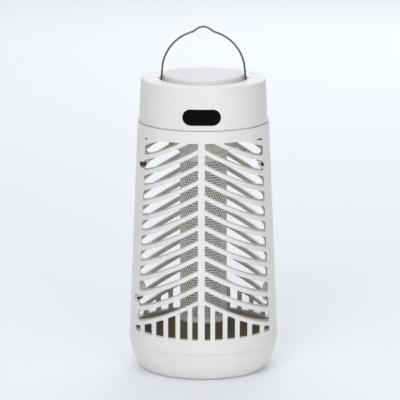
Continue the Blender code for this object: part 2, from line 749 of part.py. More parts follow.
def base_tray():
    centre_r = TRAY_SIDE_R - TRAY_ARC_R
    bottom = TRAY_FLOOR_Z
    edge = 0.9 * MM
    start, stop = tray_angle(TRAY_RIM_Z), tray_angle(bottom + edge)
    outer = arc(centre_r, TRAY_ARC_Z, TRAY_ARC_R, TRAY_ARC_DROP, start, stop, 6)
    floor_z = bottom + TRAY_WALL
    bowl_r = COLLAR_R - 1.6 * MM
    bowl_z = TRAY_ARC_Z - 4.0 * MM
    inner = arc(bowl_r - TRAY_ARC_R, bowl_z, TRAY_ARC_R, bowl_z - floor_z, -90, 0, 5)
    groove_in, groove_out = FOOT_R
    groove_z = bottom + FOOT_GROOVE
    profile = [(0.0, floor_z)] + inner
    profile += [(bowl_r, COLLAR_TOP_Z), (COLLAR_R, COLLAR_TOP_Z), (COLLAR_R, TRAY_RIM_Z)] + outer
    profile += [(outer[-1][0] - edge, bottom), (groove_out, bottom), (groove_out, groove_z)]
    profile += [(groove_in, groove_z), (groove_in, bottom), (0.0, bottom)]
    tray = turned("base_tray", profile, body_plastic(), TURN_STEPS, closed=False)
    for angle in QUARTERS:
        join(tray, ring_block("lug", 55.0 * MM, LUG_Z, (2.4 * MM, LATCH_LENGTH, LATCH_HEIGHT), angle))


def foot_ring():
    top = TRAY_FLOOR_Z + FOOT_GROOVE - GAP
    inner, outer = FOOT_R[0] + GAP, FOOT_R[1] - GAP
    turned("foot_ring", [(outer, top), (outer, 0.0), (inner, 0.0), (inner, top)], rubber(), 32)


def main():
    global PARTS, CUTTERS
    clear_scene()
    PARTS = new_collection("bug_zapper")
    CUTTERS = new_collection("cutters")
    CUTTERS.hide_render = True
    grille_halves()
    body_screws()
    cap_shell()
    top_button()
    button_clip()
    button_spring()
    wire_bail()
    indicator_window()
    electronics()
    usb_socket()
    battery_pack()
    upper_holder()
    insulators()
    electrodes()
    lamp()
    base_tray()
    foot_ring()
    for obj in PARTS.objects:
        smooth(obj)


main()
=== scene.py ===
"""Looks of the portable bug zapper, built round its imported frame. Metres, +Z up, the front faces -Y.

Each visible CAD node, each screw and the switch's spring are replaced by finer pieces of the same size
in the same place. The boards, the cells and the other plain inner pieces keep their CAD shape and get a
better material.
"""

import json
import math

import bmesh
import bpy
from mathutils import Matrix, Vector
from mathutils.geometry import delaunay_2d_cdt
from mathutils.kdtree import KDTree


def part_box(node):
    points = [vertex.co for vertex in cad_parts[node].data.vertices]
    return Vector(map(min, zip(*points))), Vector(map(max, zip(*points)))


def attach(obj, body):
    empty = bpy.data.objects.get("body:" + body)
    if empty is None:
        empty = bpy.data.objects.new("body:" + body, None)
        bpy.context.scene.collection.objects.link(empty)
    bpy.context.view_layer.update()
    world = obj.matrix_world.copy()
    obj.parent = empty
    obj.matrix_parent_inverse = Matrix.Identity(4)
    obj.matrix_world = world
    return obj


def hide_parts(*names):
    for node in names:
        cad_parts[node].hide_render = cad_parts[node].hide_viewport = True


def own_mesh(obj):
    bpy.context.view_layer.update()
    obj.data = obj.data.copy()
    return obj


MM = 0.001
FINE_TURN = 192             # facets round the large turned pieces
COLUMN_TURN = 96            # facets round the insulators and the lamp tube
SMALL_TURN = 64             # facets round rods
BOSS_TURN = 48              # facets round the shells' screw bosses
BORE_TURN = 32              # facets round screws and drilled holes
SHARP_ANGLE = 32.0          # degrees between faces above which an edge stays sharp

# Tower
GRILLE_LOW_Z = 23.7 * MM
GRILLE_TOP_Z = 200.4 * MM
GRILLE_FOOT_R = 59.4 * MM   # outer radius of the tower at TAPER_Z
TAPER_Z = 27.0 * MM
TAPER = 0.0409              # radius lost per unit of height
GRILLE_WALL = 2.4 * MM
SLAT_DEPTH = 4.4 * MM       # thickness of the wall over the slats
SLAT_ZONE = (32.5 * MM, 192.5 * MM)
ZONE_LEAD = 2.0 * MM        # height over which the wall thickens
PARTING = 0.15 * MM         # half the gap between the two shells
LEDGE = (47.6 * MM, 195.6 * MM, 198.3 * MM)     # radius, underside and top of the inner ledge

# Slats
WINDOW_COUNT = 10           # whole windows each side of the centre rib
PART_WINDOWS = 3            # more above them, which the top band cuts short
WINDOW_TOP_Z = 182.9 * MM
WINDOW_PITCH = 12.02 * MM
WINDOW_HEIGHT = 8.3 * MM
TOP_BAND_Z = 191.2 * MM
RIB_HALF = 2.7 * MM
SLAT_SLOPE = 0.56           # fall of a slat per unit of distance from the centre
SLAT_BEND = 1.3             # how fast that slope eases, per metre
COLUMN = {-1: 7.6 * MM, 1: 5.6 * MM}    # solid margin of a half shell at its -X and +X side
LOW_SLAT = 3.0 * MM
BOTTOM_BAND_Z = 34.6 * MM
FIRST_BAR_X = 9.0 * MM
BAR_PITCH = 9.65 * MM
BAR_WIDTH = 3.7 * MM
BAR_COUNT = 5
BAR_ZONE_X = 53.4 * MM
SLOT_CORNER = 0.8 * MM      # rounding of a slot's corners
OUTER_CORNER = 3.0 * MM     # rounding of its upper outer corner
EDGE_ROUND = 0.45 * MM      # rounding where the slots meet the outside
SHEET_R = 55.0 * MM         # radius at which the wall is unrolled
SHEET_STEP = 2.2 * MM       # spacing of the points on the unrolled wall
ROW_SHARE = 0.87            # spacing of their rows, as a share of that
SLOT_CLEAR = 0.4 * MM       # part of the column's margin that the slots' straight sides may use

# Bosses and screws
SCREW_LEVELS = ((47.2 * MM, 169.0 * MM), (50.9 * MM, 61.1 * MM))
BOSS_R = 3.4 * MM
BOSS_FACE_Y = 19.0 * MM
BOSS_FOOT_Y = 0.3 * MM
WEB_DEPTH = 9.0 * MM
WEB_HEIGHT = 2.4 * MM
HEAD_SEAT_Y = 15.0 * MM
HEAD_FACE_Y = HEAD_SEAT_Y + 2.3 * MM            # outer face of the body screws' heads
HEAD_BORE_R = 2.75 * MM
SHANK_BORE_R = 1.5 * MM
BODY_SCREW = (2.5 * MM, 2.0 * MM, 26 * MM)      # head radius, head height, length under the head
CAP_SCREW = (2.3 * MM, 1.8 * MM, 10 * MM)
END_SCREW = (3.2 * MM, 1.5 * MM, 10 * MM)
SHANK_R = 1.15 * MM
THREAD_PITCH = 0.8 * MM
PILOT_R = 1.45 * MM         # bore that a screw cuts its thread in
QUARTERS = (45, 135, 225, 315)      # degrees round the tower of the cap screws and the bayonet

# Cap
CAP_LOW_Z = 200.9 * MM
CAP_TOP_Z = 235.0 * MM
CAP_LOW_R = 51.2 * MM
CAP_TAPER = 0.0465
CAP_WALL = 2.2 * MM
CAP_EDGE_R = 2.0 * MM
CAP_SCREW_R = 43.0 * MM
CAP_BOSS_R = 3.4 * MM
CAP_REBATE_R = 46.8 * MM
WELL_R = 35.0 * MM
WELL_FLOOR_Z = 230.0 * MM
LENS_Z = 211.6 * MM
LENS_W = 29.7 * MM
LENS_H = 12.3 * MM
LENS_SINK = 0.35 * MM
LENS_DEPTH = 3.0 * MM
LENS_RIM = 0.5 * MM
FIT_GAP = 0.3 * MM          # gap round the lens, the socket and the insulators' spigots
SOCKET_W = 9.0 * MM
SOCKET_H = 3.2 * MM
SOCKET_REAR_Y = 41.6 * MM
SOCKET_MOUTH_Y = 49.9 * MM
BAIL_PIVOT_Z = 233.0 * MM
POCKET_X = 35.6 * MM
POCKET_R = 2.0 * MM

# Switch and bail
BUTTON_R = 31.6 * MM
BUTTON_TOP_Z = 238.1 * MM
BUTTON_SKIRT_Z = 231.6 * MM
STEM_R = 3.6 * MM
STEM_LOW_Z = 226.6 * MM
STEM_GAP = 0.4 * MM
CLIP_GROOVE = (2.6 * MM, 227.2 * MM, 228.2 * MM)    # radius, underside and top
BUTTON_ROOF = 2.0 * MM
BUTTON_SKIRT = 1.8 * MM
SPRING_R = 6.0 * MM
SPRING_WIRE_R = 0.4 * MM
SPRING_TURNS = 3
WIRE_R = 0.75 * MM
BAIL_LEG_X = 33.2 * MM
BAIL_ARC_R = 32.8 * MM
BAIL_ARC_Z = 240.0 * MM
BAIL_TOP_Z = 276.6 * MM
HUMP_HALF = 8.8 * MM

# Lamp column
HOLDER_R = 27.6 * MM
HOLDER_LOW_Z = 180.0 * MM
HOLDER_FLANGE = (49.3 * MM, 198.6 * MM, 200.6 * MM)
MESH_R = 19.2 * MM
MESH_WALL = 0.5 * MM
MESH_SHEET = 0.4 * MM
MESH_LOW_Z = 40.3 * MM
MESH_TOP_Z = 175.9 * MM
INNER_MESH_R = 14.6 * MM
INNER_MESH_Z = (43.6 * MM, 169.7 * MM)
OUTER_HOLES = (2.1 * MM, (0.80, 0.78))      # pitch, and a hole's width and height as shares of it
INNER_HOLES = (2.6 * MM, (0.62, 0.7))
LAMP_R = 9.0 * MM
LAMP_WALL = 1.2 * MM
CHIP_COUNT = 8
CHIP_LOW_Z = 58 * MM
CHIP_PITCH = 14 * MM
CHIP_Y = 3.75 * MM

# Tray
TRAY_RIM_Z = 23.3 * MM
TRAY_ARC_R = 18.0 * MM
TRAY_ARC_DROP = 29.8 * MM
TRAY_ARC_Z = 27.0 * MM
TRAY_SIDE_R = 59.0 * MM
TRAY_FLOOR_Z = 1.2 * MM
TRAY_WALL = 2.2 * MM
FOOT_GROOVE = 0.8 * MM
FOOT_R = (33.0 * MM, 38.0 * MM)
COLLAR_R = 54.6 * MM
COLLAR_TOP_Z = 28.5 * MM
HOOK_Z = 25.05 * MM
LUG_Z = 26.85 * MM
HOOK_R = 56.6 * MM
HOOK_DEPTH = 2.8 * MM
LUG_R = 55.0 * MM
LUG_DEPTH = 2.4 * MM
LATCH_LENGTH = 12.0 * MM
LATCH_HEIGHT = 1.5 * MM
LATCH_STEPS = 16

# Studio
CAMERA_TURN = 1.69          # degrees to the right of the front
CAMERA_DISTANCE = 2.4       # along the floor, in metres
CAMERA_Z = 0.6386
TARGET_Z = 0.1357
FRAME_WIDTH = 0.32          # what the picture spans at the object, in metres
CAMERA_SHIFT = -0.0086
SENSOR_WIDTH = 36.0
FLOOR_HALF = 9.0
LIGHT_TARGET = (0.0, 0.0, 0.13)

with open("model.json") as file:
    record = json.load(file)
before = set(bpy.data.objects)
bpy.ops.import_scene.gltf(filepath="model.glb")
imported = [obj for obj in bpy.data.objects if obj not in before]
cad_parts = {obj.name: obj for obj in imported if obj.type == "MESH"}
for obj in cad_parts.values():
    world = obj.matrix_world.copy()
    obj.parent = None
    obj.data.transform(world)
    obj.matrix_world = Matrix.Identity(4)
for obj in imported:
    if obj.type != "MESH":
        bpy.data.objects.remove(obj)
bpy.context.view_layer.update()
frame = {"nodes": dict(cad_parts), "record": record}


# ---------------- materials

def new_material(name):
    """An empty node material: (material, its nodes, its links, its shader)."""
    made = bpy.data.materials.new(name)
    made.use_nodes = True
    tree = made.node_tree
    return made, tree.nodes, tree.links, tree.nodes["Principled BSDF"]


def noise(nodes, links, scale, detail=4.0, stretch=(1.0, 1.0, 1.0)):
    """A noise texture in object space, stretched along the axes, and its factor output."""
    place = nodes.new("ShaderNodeTexCoord")
    mapping = nodes.new("ShaderNodeMapping")
    mapping.inputs["Scale"].default_value = stretch
    texture = nodes.new("ShaderNodeTexNoise")
    texture.inputs["Scale"].default_value = scale
    texture.inputs["Detail"].default_value = detail
    links.new(place.outputs["Object"], mapping.inputs["Vector"])
    links.new(mapping.outputs["Vector"], texture.inputs["Vector"])
    return texture.outputs["Fac"]


def ramp(nodes, links, source, low, high, places=(0.3, 0.7)):
    """A colour ramp between two colours."""
    made = nodes.new("ShaderNodeValToRGB")
    for element, place, colour in zip(made.color_ramp.elements, places, (low, high)):
        element.position = place
        element.color = (*colour, 1.0)
    links.new(source, made.inputs["Fac"])
    return made.outputs["Color"]


def spread(nodes, links, source, low, high):
    """A factor mapped to the range low to high."""
    made = nodes.new("ShaderNodeMapRange")
    made.inputs["To Min"].default_value = low
    made.inputs["To Max"].default_value = high
    links.new(source, made.inputs["Value"])
    return made.outputs["Result"]


def bump(nodes, links, source, shader, distance):
    """A fine relief of the given depth."""
    made = nodes.new("ShaderNodeBump")
    made.inputs["Distance"].default_value = distance
    links.new(source, made.inputs["Height"])
    links.new(made.outputs["Normal"], shader.inputs["Normal"])


def moulded(name, low, high, rough, grain=1800.0, depth=0.00002, coat=0.0):
    """Moulded plastic: slow shifts of tone, uneven gloss and a fine skin texture."""
    made, nodes, links, shader = new_material(name)
    slow = noise(nodes, links, 38.0, 3.0)
    links.new(ramp(nodes, links, slow, low, high), shader.inputs["Base Color"])
    patchy = noise(nodes, links, 160.0, 2.0)
    links.new(spread(nodes, links, patchy, rough[0], rough[1]), shader.inputs["Roughness"])
    bump(nodes, links, noise(nodes, links, grain, 2.0), shader, depth)
    shader.inputs["Coat Weight"].default_value = coat
    shader.inputs["Coat Roughness"].default_value = 0.25
    return made


def metal(name, low, high, rough, stretch=(1.0, 1.0, 1.0), scale=900.0):
    """Metal with drawn or rolled streaks."""
    made, nodes, links, shader = new_material(name)
    streaks = noise(nodes, links, scale, 4.0, stretch)
    links.new(ramp(nodes, links, streaks, low, high), shader.inputs["Base Color"])
    links.new(spread(nodes, links, streaks, rough[0], rough[1]), shader.inputs["Roughness"])
    bump(nodes, links, streaks, shader, 0.00001)
    shader.inputs["Metallic"].default_value = 1.0
    return made


def lens_material(name):
    """Polished black plastic that mirrors only a little of the studio."""
    made = moulded(name, (0.003, 0.003, 0.0034), (0.005, 0.005, 0.0056), (0.10, 0.16), 300.0, 0.000002)
    made.node_tree.nodes["Principled BSDF"].inputs["Specular IOR Level"].default_value = 0.03
    return made


def grid_material(name, low, high):
    """Matt-plated sheet with rolled streaks, which hardly mirrors."""
    made = metal(name, low, high, (0.4, 0.6), (1, 1, 0.15), 500.0)
    made.node_tree.nodes["Principled BSDF"].inputs["Metallic"].default_value = 0.1
    return made


def board_material(name):
    """Green solder mask with a net of slightly raised tracks."""
    made, nodes, links, shader = new_material(name)
    place = nodes.new("ShaderNodeTexCoord")
    tracks = nodes.new("ShaderNodeTexBrick")
    tracks.inputs["Scale"].default_value = 220.0
    tracks.inputs["Color1"].default_value = (0.02, 0.13, 0.06, 1.0)
    tracks.inputs["Color2"].default_value = (0.03, 0.19, 0.09, 1.0)
    tracks.inputs["Mortar"].default_value = (0.05, 0.27, 0.13, 1.0)
    tracks.inputs["Mortar Size"].default_value = 0.03
    links.new(place.outputs["Object"], tracks.inputs["Vector"])
    links.new(tracks.outputs["Color"], shader.inputs["Base Color"])
    bump(nodes, links, tracks.outputs["Fac"], shader, 0.00003)
    links.new(spread(nodes, links, noise(nodes, links, 300.0), 0.25, 0.4), shader.inputs["Roughness"])
    return made


def make_materials():
    """Every material by name, from its darkest and lightest tone and its range of roughness."""
    plastics = {
        "body_plastic": ((0.79, 0.785, 0.765), (0.82, 0.815, 0.795), (0.30, 0.40), 1800.0, 0.00002, 0.12),
        # slightly darker, warmer tone for the shells' inner faces: painted shade inside the tower
        "shell_inside": ((0.75, 0.72, 0.66), (0.81, 0.78, 0.72), (0.5, 0.65)),
        # dark brown tone for the tray's inside: painted shade in the bowl
        "tray_inside": ((0.26, 0.225, 0.185), (0.34, 0.30, 0.25), (0.45, 0.6)),
        "button_plastic": ((0.78, 0.785, 0.80), (0.83, 0.835, 0.85), (0.48, 0.6), 1200.0),
        "grey_plastic": ((0.70, 0.69, 0.65), (0.76, 0.75, 0.71), (0.45, 0.6)),
        "black_plastic": ((0.015, 0.015, 0.015), (0.03, 0.03, 0.03), (0.4, 0.6)),
        "cell_wrap": ((0.04, 0.13, 0.36), (0.06, 0.19, 0.48), (0.25, 0.35), 700.0, 0.00002, 0.4),
        "lamp_diffuser": ((0.74, 0.74, 0.78), (0.84, 0.84, 0.88), (0.35, 0.5)),
        "lamp_board": ((0.70, 0.70, 0.68), (0.80, 0.80, 0.78), (0.35, 0.5)),
        "rubber": ((0.02, 0.02, 0.02), (0.045, 0.045, 0.045), (0.7, 0.9), 900.0, 0.00008),
    }
    metals = {
        "bail_wire": ((0.10, 0.098, 0.092), (0.18, 0.175, 0.165), (0.28, 0.42)),
        "spring_steel": ((0.42, 0.42, 0.41), (0.55, 0.55, 0.54), (0.2, 0.35)),
        "screw_brass": ((0.11, 0.075, 0.04), (0.20, 0.145, 0.075), (0.42, 0.6)),
    }
    grids = {
        "mesh_steel": ((0.86, 0.85, 0.80), (0.95, 0.94, 0.90)),
        # much darker copy of the same steel for the inner tube: painted shade behind the outer holes
        "inner_mesh_steel": ((0.14, 0.135, 0.12), (0.22, 0.21, 0.19)),
    }
    made = {"black_lens": lens_material("black_lens"), "circuit_board": board_material("circuit_board")}
    for builder, looks in ((moulded, plastics), (metal, metals), (grid_material, grids)):
        made.update({name: builder(name, *values) for name, values in looks.items()})
    return made


MATERIALS = make_materials()


# ---------------- shapes

def rounded(corners, closed=True, steps=5):
    """A line through corners of (a, b) or (a, b, radius), with each radius turned into a short arc."""
    points = []
    for i, corner in enumerate(corners):
        here = Vector(corner[:2])
        if len(corner) == 2 or (not closed and i in (0, len(corners) - 1)):
            points.append(here)
            continue
        back = Vector(corners[i - 1][:2]) - here
        ahead = Vector(corners[(i + 1) % len(corners)][:2]) - here
        half = back.angle(ahead) / 2
        reach = min(corner[2] / math.tan(half), 0.49 * back.length, 0.49 * ahead.length)
        radius = reach * math.tan(half)
        centre = here + (back.normalized() + ahead.normalized()).normalized() * radius / math.sin(half)
        first = here + back.normalized() * reach - centre
        last = here + ahead.normalized() * reach - centre
        start = math.atan2(first.y, first.x)
        turn = math.remainder(math.atan2(last.y, last.x) - start, math.tau)
        for k in range(steps + 1):
            angle = start + turn * k / steps
            points.append(centre + radius * Vector((math.cos(angle), math.sin(angle))))
    return points


def arc(centre_r, centre_z, reach_r, reach_z, start, end, steps):
    """Points on an ellipse arc, angles in degrees from the outward direction."""
    points = []
    for i in range(steps + 1):
        angle = math.radians(start + (end - start) * i / steps)
        points.append((centre_r + reach_r * math.cos(angle), centre_z + reach_z * math.sin(angle)))
    return points


def add_turned(shape, profile, closed=True, steps=FINE_TURN, span=(0.0, 360.0)):
    """Turns a profile of (radius, height) about Z inside a bmesh, a full turn or a span with flat ends."""
    whole = span[1] - span[0] >= 360.0
    columns = []
    poles = {}
    for k in range(steps if whole else steps + 1):
        angle = math.radians(span[0] + (span[1] - span[0]) * k / steps)
        column = []
        for i, (r, z) in enumerate(profile):
            if r < 1e-7:
                if i not in poles:
                    poles[i] = shape.verts.new((0.0, 0.0, z))
                column.append(poles[i])
            else:
                column.append(shape.verts.new((r * math.cos(angle), r * math.sin(angle), z)))
        columns.append(column)
    last = len(profile) if closed else len(profile) - 1
    pairs = list(zip(columns, columns[1:]))
    if whole:
        pairs.append((columns[-1], columns[0]))
    else:
        shape.faces.new(columns[0])
        shape.faces.new(columns[-1][::-1])
    for near, far in pairs:
        for i in range(last):
            j = (i + 1) % len(profile)
            corners = [near[i], far[i], far[j], near[j]]
            shape.faces.new(dict.fromkeys(corners))


def finished(name, shape):
    """A scene object from a bmesh, with smooth shading broken at sharp edges."""
    bmesh.ops.recalc_face_normals(shape, faces=shape.faces)
    mesh = bpy.data.meshes.new(name)
    shape.to_mesh(mesh)
    shape.free()
    obj = bpy.data.objects.new(name, mesh)
    bpy.context.scene.collection.objects.link(obj)
    shade(obj)
    return obj


def shade(obj):
    obj.data.shade_smooth()
    obj.data.set_sharp_from_angle(angle=math.radians(SHARP_ANGLE))


def turned(name, profile, closed=True, steps=FINE_TURN):
    """A piece turned from a profile of (radius, height)."""
    shape = bmesh.new()
    add_turned(shape, profile, closed, steps)
    return finished(name, shape)


def placed(obj, matrix):
    """Moves a piece's mesh, so that its object stays at the origin."""
    obj.data.transform(matrix)
    return obj


def along(axis):
    """The turn that takes +Z to the axis."""
    return Vector(axis).to_track_quat("Z", "Y").to_matrix().to_4x4()


def rod(name, radius, length, centre, axis, rounding=0.0, steps=SMALL_TURN):
    """A turned rod with rounded rims."""
    half = length / 2
    corners = [(0.0, half), (radius, half, rounding), (radius, -half, rounding), (0.0, -half)]
    if not rounding:
        corners = [corner[:2] for corner in corners]
    made = turned(name, rounded(corners, closed=False, steps=4), False, steps)
    return placed(made, Matrix.Translation(centre) @ along(axis))


def skin(shape, rings, capped=True):
    """Adds the faces between successive rings of vertices, and over both ends if capped."""
    for near, far in zip(rings, rings[1:]):
        for i in range(len(near)):
            shape.faces.new((near[i - 1], near[i], far[i], far[i - 1]))
    if capped:
        shape.faces.new(rings[0])
        shape.faces.new(rings[-1][::-1])


def wire_ring(shape, centre, across, up, radius, sides):
    """A ring of vertices round a point of a wire."""
    ring = []
    for k in range(sides):
        angle = math.tau * k / sides
        ring.append(shape.verts.new(centre + (across * math.cos(angle) + up * math.sin(angle)) * radius))
    return ring


def drill(radius, length, centre, axis):
    """A plain rod that cuts a hole."""
    return rod("drill", radius, length, centre, axis, 0.0, BORE_TURN)


def prism(name, outline, low_y, high_y):
    """A straight prism along Y on an outline of (x, z) points."""
    shape = bmesh.new()
    skin(shape, [[shape.verts.new((x, y, z)) for x, z in outline] for y in (low_y, high_y)])
    return finished(name, shape)


def box_piece(name, size, centre, rounding):
    """A block with rounded edges."""
    shape = bmesh.new()
    bmesh.ops.create_cube(shape, size=1.0)
    bmesh.ops.scale(shape, vec=size, verts=shape.verts)
    bmesh.ops.bevel(shape, geom=shape.edges[:], offset=rounding, segments=3, profile=0.5, affect="EDGES")
    return placed(finished(name, shape), Matrix.Translation(centre))


def combined(obj, others, operation):
    """Applies Booleans with other objects, which are used up."""
    for other in others:
        step = obj.modifiers.new("join", "BOOLEAN")
        step.operation = operation
        step.object = other
    bpy.context.view_layer.update()
    graph = bpy.context.evaluated_depsgraph_get()
    mesh = bpy.data.meshes.new_from_object(obj.evaluated_get(graph))
    obj.modifiers.clear()
    obj.data = mesh
    for other in others:
        bpy.data.objects.remove(other)
    shade(obj)
    return obj


def merged(name, objects):
    """One object from several, which are used up."""
    shape = bmesh.new()
    for obj in objects:
        shape.from_mesh(obj.data)
        bpy.data.objects.remove(obj)
    return finished(name, shape)


def polar(radius, degrees, z):
    """The point at a radius, a bearing and a height."""
    angle = math.radians(degrees)
    return Vector((radius * math.cos(angle), radius * math.sin(angle), z))


def dress(obj, slot_name, body, *nodes):
    """Gives a piece its material, its body and the CAD nodes that it stands for."""
    indices = [face.material_index for face in obj.data.polygons]
    obj.data.materials.clear()      # this also sets every face's index to 0
    obj.data.materials.append(MATERIALS[slot_name])
    obj.data.polygons.foreach_set("material_index", indices)
    if nodes:
        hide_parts(*nodes)
    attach(obj, body)
    return obj


# ---------------- slatted shells

def tower_radius(z):
    """Outer radius of the tower at a height."""
    return GRILLE_FOOT_R - TAPER * (z - TAPER_Z)


def slat_line(z_at_rib, x):
    """Height at distance x from the centre of an edge that leaves the rib at z_at_rib."""
    return z_at_rib - SLAT_SLOPE * (x - RIB_HALF) + SLAT_BEND * (x * x - RIB_HALF * RIB_HALF)


def slat_reach(z_at_rib, z):
    """Distance from the centre at which such an edge has come down to height z."""
    fall = z_at_rib - z + SLAT_SLOPE * RIB_HALF - SLAT_BEND * RIB_HALF * RIB_HALF
    return (SLAT_SLOPE - math.sqrt(SLAT_SLOPE ** 2 - 4 * SLAT_BEND * fall)) / (2 * SLAT_BEND)


def edge_points(z_at_rib, start, end):
    """Points between the ends of a slanted edge, none near its corners."""
    count = max(2, round((end - start) / SHEET_STEP))
    places = [start + (end - start) * i / count for i in range(1, count)]
    return [(x, slat_line(z_at_rib, x)) for x in places if start + SLOT_CORNER < x < end - OUTER_CORNER]


def slanted_outline(index, side):
    """Outline of one slanted window, as (distance from the centre, height)."""
    top = WINDOW_TOP_Z - WINDOW_PITCH * index
    bottom = top - WINDOW_HEIGHT
    end_z = slat_line(top - WINDOW_HEIGHT / 2, tower_radius(top) - COLUMN[side])
    end = tower_radius(end_z) - COLUMN[side]
    low_start = RIB_HALF if bottom < TOP_BAND_Z else slat_reach(bottom, TOP_BAND_Z)
    corners = [(low_start, slat_line(bottom, low_start), SLOT_CORNER)]
    corners += edge_points(bottom, low_start, end)
    corners.append((end, slat_line(bottom, end), SLOT_CORNER))
    corners.append((end, min(slat_line(top, end), TOP_BAND_Z), OUTER_CORNER))
    high_start = RIB_HALF if top < TOP_BAND_Z else slat_reach(top, TOP_BAND_Z)
    if high_start < end:
        corners += reversed(edge_points(top, high_start, end))
        corners.append((high_start, slat_line(top, high_start), SLOT_CORNER))
    if low_start == RIB_HALF < high_start:
        corners.append((RIB_HALF, TOP_BAND_Z, SLOT_CORNER))
    return rounded(corners)


def bar_outlines():
    """Outlines of the windows between the upright bars, under the lowest slanted slat."""
    slat_under = WINDOW_TOP_Z - WINDOW_PITCH * (WINDOW_COUNT - 1) - WINDOW_HEIGHT - LOW_SLAT
    low_edges = [RIB_HALF] + [FIRST_BAR_X + BAR_PITCH * i + BAR_WIDTH / 2 for i in range(BAR_COUNT)]
    high_edges = [FIRST_BAR_X + BAR_PITCH * i - BAR_WIDTH / 2 for i in range(BAR_COUNT)] + [BAR_ZONE_X]
    outlines = []
    for near, far in zip(low_edges, high_edges):
        middle = (near + far) / 2
        outlines.append(rounded([
            (near, BOTTOM_BAND_Z, SLOT_CORNER), (middle, BOTTOM_BAND_Z), (far, BOTTOM_BAND_Z, SLOT_CORNER),
            (far, slat_line(slat_under, far), SLOT_CORNER), (middle, slat_line(slat_under, middle)),
            (near, slat_line(slat_under, near), SLOT_CORNER),
        ]))
    return outlines


def unrolled(outline, side):
    """An outline of (distance, height) as points on the unrolled wall."""
    return [Vector((side * math.asin(x / tower_radius(z)) * SHEET_R, z)) for x, z in outline]


def slot_loops():
    """The outline of every slot on the unrolled wall."""
    loops = []
    for side in (-1, 1):
        outlines = [slanted_outline(i, side) for i in range(-PART_WINDOWS, WINDOW_COUNT)]
        loops += [unrolled(outline, side) for outline in outlines + bar_outlines()]
    return loops


def sheet_rim():
    """The unrolled wall's own outline, with points all along it."""
    half = (math.pi / 2 - PARTING / SHEET_R) * SHEET_R
    corners = [Vector(c) for c in (
        (-half, GRILLE_LOW_Z), (half, GRILLE_LOW_Z), (half, GRILLE_TOP_Z), (-half, GRILLE_TOP_Z),
    )]
    points = []
    for i in range(4):
        start, end = corners[i], corners[(i + 1) % 4]
        count = round((end - start).length / SHEET_STEP)
        points += [start.lerp(end, k / count) for k in range(count)]
    return points


def grown(loop, distance):
    """A closed loop moved outward by the distance."""
    area = sum(a.x * b.y - b.x * a.y for a, b in zip(loop, loop[1:] + loop[:1]))
    turn = math.copysign(distance, area)
    moved = []
    for i, here in enumerate(loop):
        run = (loop[(i + 1) % len(loop)] - loop[i - 1]).normalized()
        moved.append(here + Vector((run.y, -run.x)) * turn)
    return moved


def inside(point, loop):
    """Whether a point is inside a closed loop."""
    found = False
    for a, b in zip(loop, loop[1:] + loop[:1]):
        if (a.y > point.y) != (b.y > point.y):
            if point.x < (b.x - a.x) * (point.y - a.y) / (b.y - a.y) + a.x:
                found = not found
    return found


def limits(loop):
    """The box round a loop: least and greatest x, least and greatest y."""
    return min(p.x for p in loop), max(p.x for p in loop), min(p.y for p in loop), max(p.y for p in loop)


def grid_points(rim, holes):
    """Staggered points that fill the wall between the loops."""
    tree = KDTree(len(rim) + sum(len(hole) for hole in holes))
    for i, point in enumerate(p for loop in [rim] + holes for p in loop):
        tree.insert((point.x, point.y, 0.0), i)
    tree.balance()
    frames = [(limits(hole), hole) for hole in holes]
    low_u, high_u, low_z, high_z = limits(rim)
    points = []
    row_step = SHEET_STEP * ROW_SHARE
    rows = int((high_z - low_z) / row_step)
    columns = int((high_u - low_u) / SHEET_STEP)
    for row in range(1, rows):
        for column in range(1, columns):
            u = low_u + (column + 0.5 * (row % 2)) * SHEET_STEP
            point = Vector((u, low_z + row * row_step))
            if tree.find((point.x, point.y, 0.0))[2] < 0.5 * SHEET_STEP:
                continue
            if any(a < u < b and c < point.y < d and inside(point, hole) for (a, b, c, d), hole in frames):
                continue
            points.append(point)
    return points


def wall_thickness(z):
    """Thickness of the wall, which is greater over the slats."""
    low, high = SLAT_ZONE
    share = min((z - low) / ZONE_LEAD + 1, (high - z) / ZONE_LEAD + 1)
    return GRILLE_WALL + (SLAT_DEPTH - GRILLE_WALL) * min(max(share, 0.0), 1.0)


def outer_point(u, z):
    """The point of the tower's outside at a point of the unrolled wall."""
    angle = u / SHEET_R
    return Vector((tower_radius(z) * math.sin(angle), -tower_radius(z) * math.cos(angle), z))


def inner_point(u, z):
    """The point behind an outer one: straight behind it at the slots, and radially at the shell's edge."""
    outer_r = tower_radius(z)
    inner_r = outer_r - wall_thickness(z)
    angle = abs(u) / SHEET_R
    side = 1 if u > 0 else -1
    slot_end = outer_r - COLUMN[side] + SLOT_CLEAR
    if angle < math.asin(slot_end / outer_r):
        back = math.asin(outer_r * math.sin(angle) / inner_r)
    else:
        front_limit = math.asin(slot_end / outer_r)
        back_limit = math.asin(slot_end / inner_r)
        edge = math.pi / 2 - PARTING / SHEET_R
        back = back_limit + (angle - front_limit) / (edge - front_limit) * (edge - back_limit)
    return Vector((side * inner_r * math.sin(back), -inner_r * math.cos(back), z))


def edge_ring(shape, loop, sheet_loop, straight_back):
    """Rings of vertices that round the outer edge of one loop: from the sheet to the wall behind it."""
    rings = []
    for share in (0.33, 0.66, 1.0):
        ring = []
        for true, moved in zip(loop, sheet_loop):
            start = outer_point(moved.x, moved.y)
            corner = outer_point(true.x, true.y)
            if straight_back:
                end = corner + Vector((0.0, EDGE_ROUND, 0.0))
            else:
                end = corner + Vector((-corner.x, -corner.y, 0.0)).normalized() * EDGE_ROUND
            place = start.lerp(corner, share).lerp(corner.lerp(end, share), share)
            ring.append(shape.verts.new(place))
        rings.append(ring)
    return rings


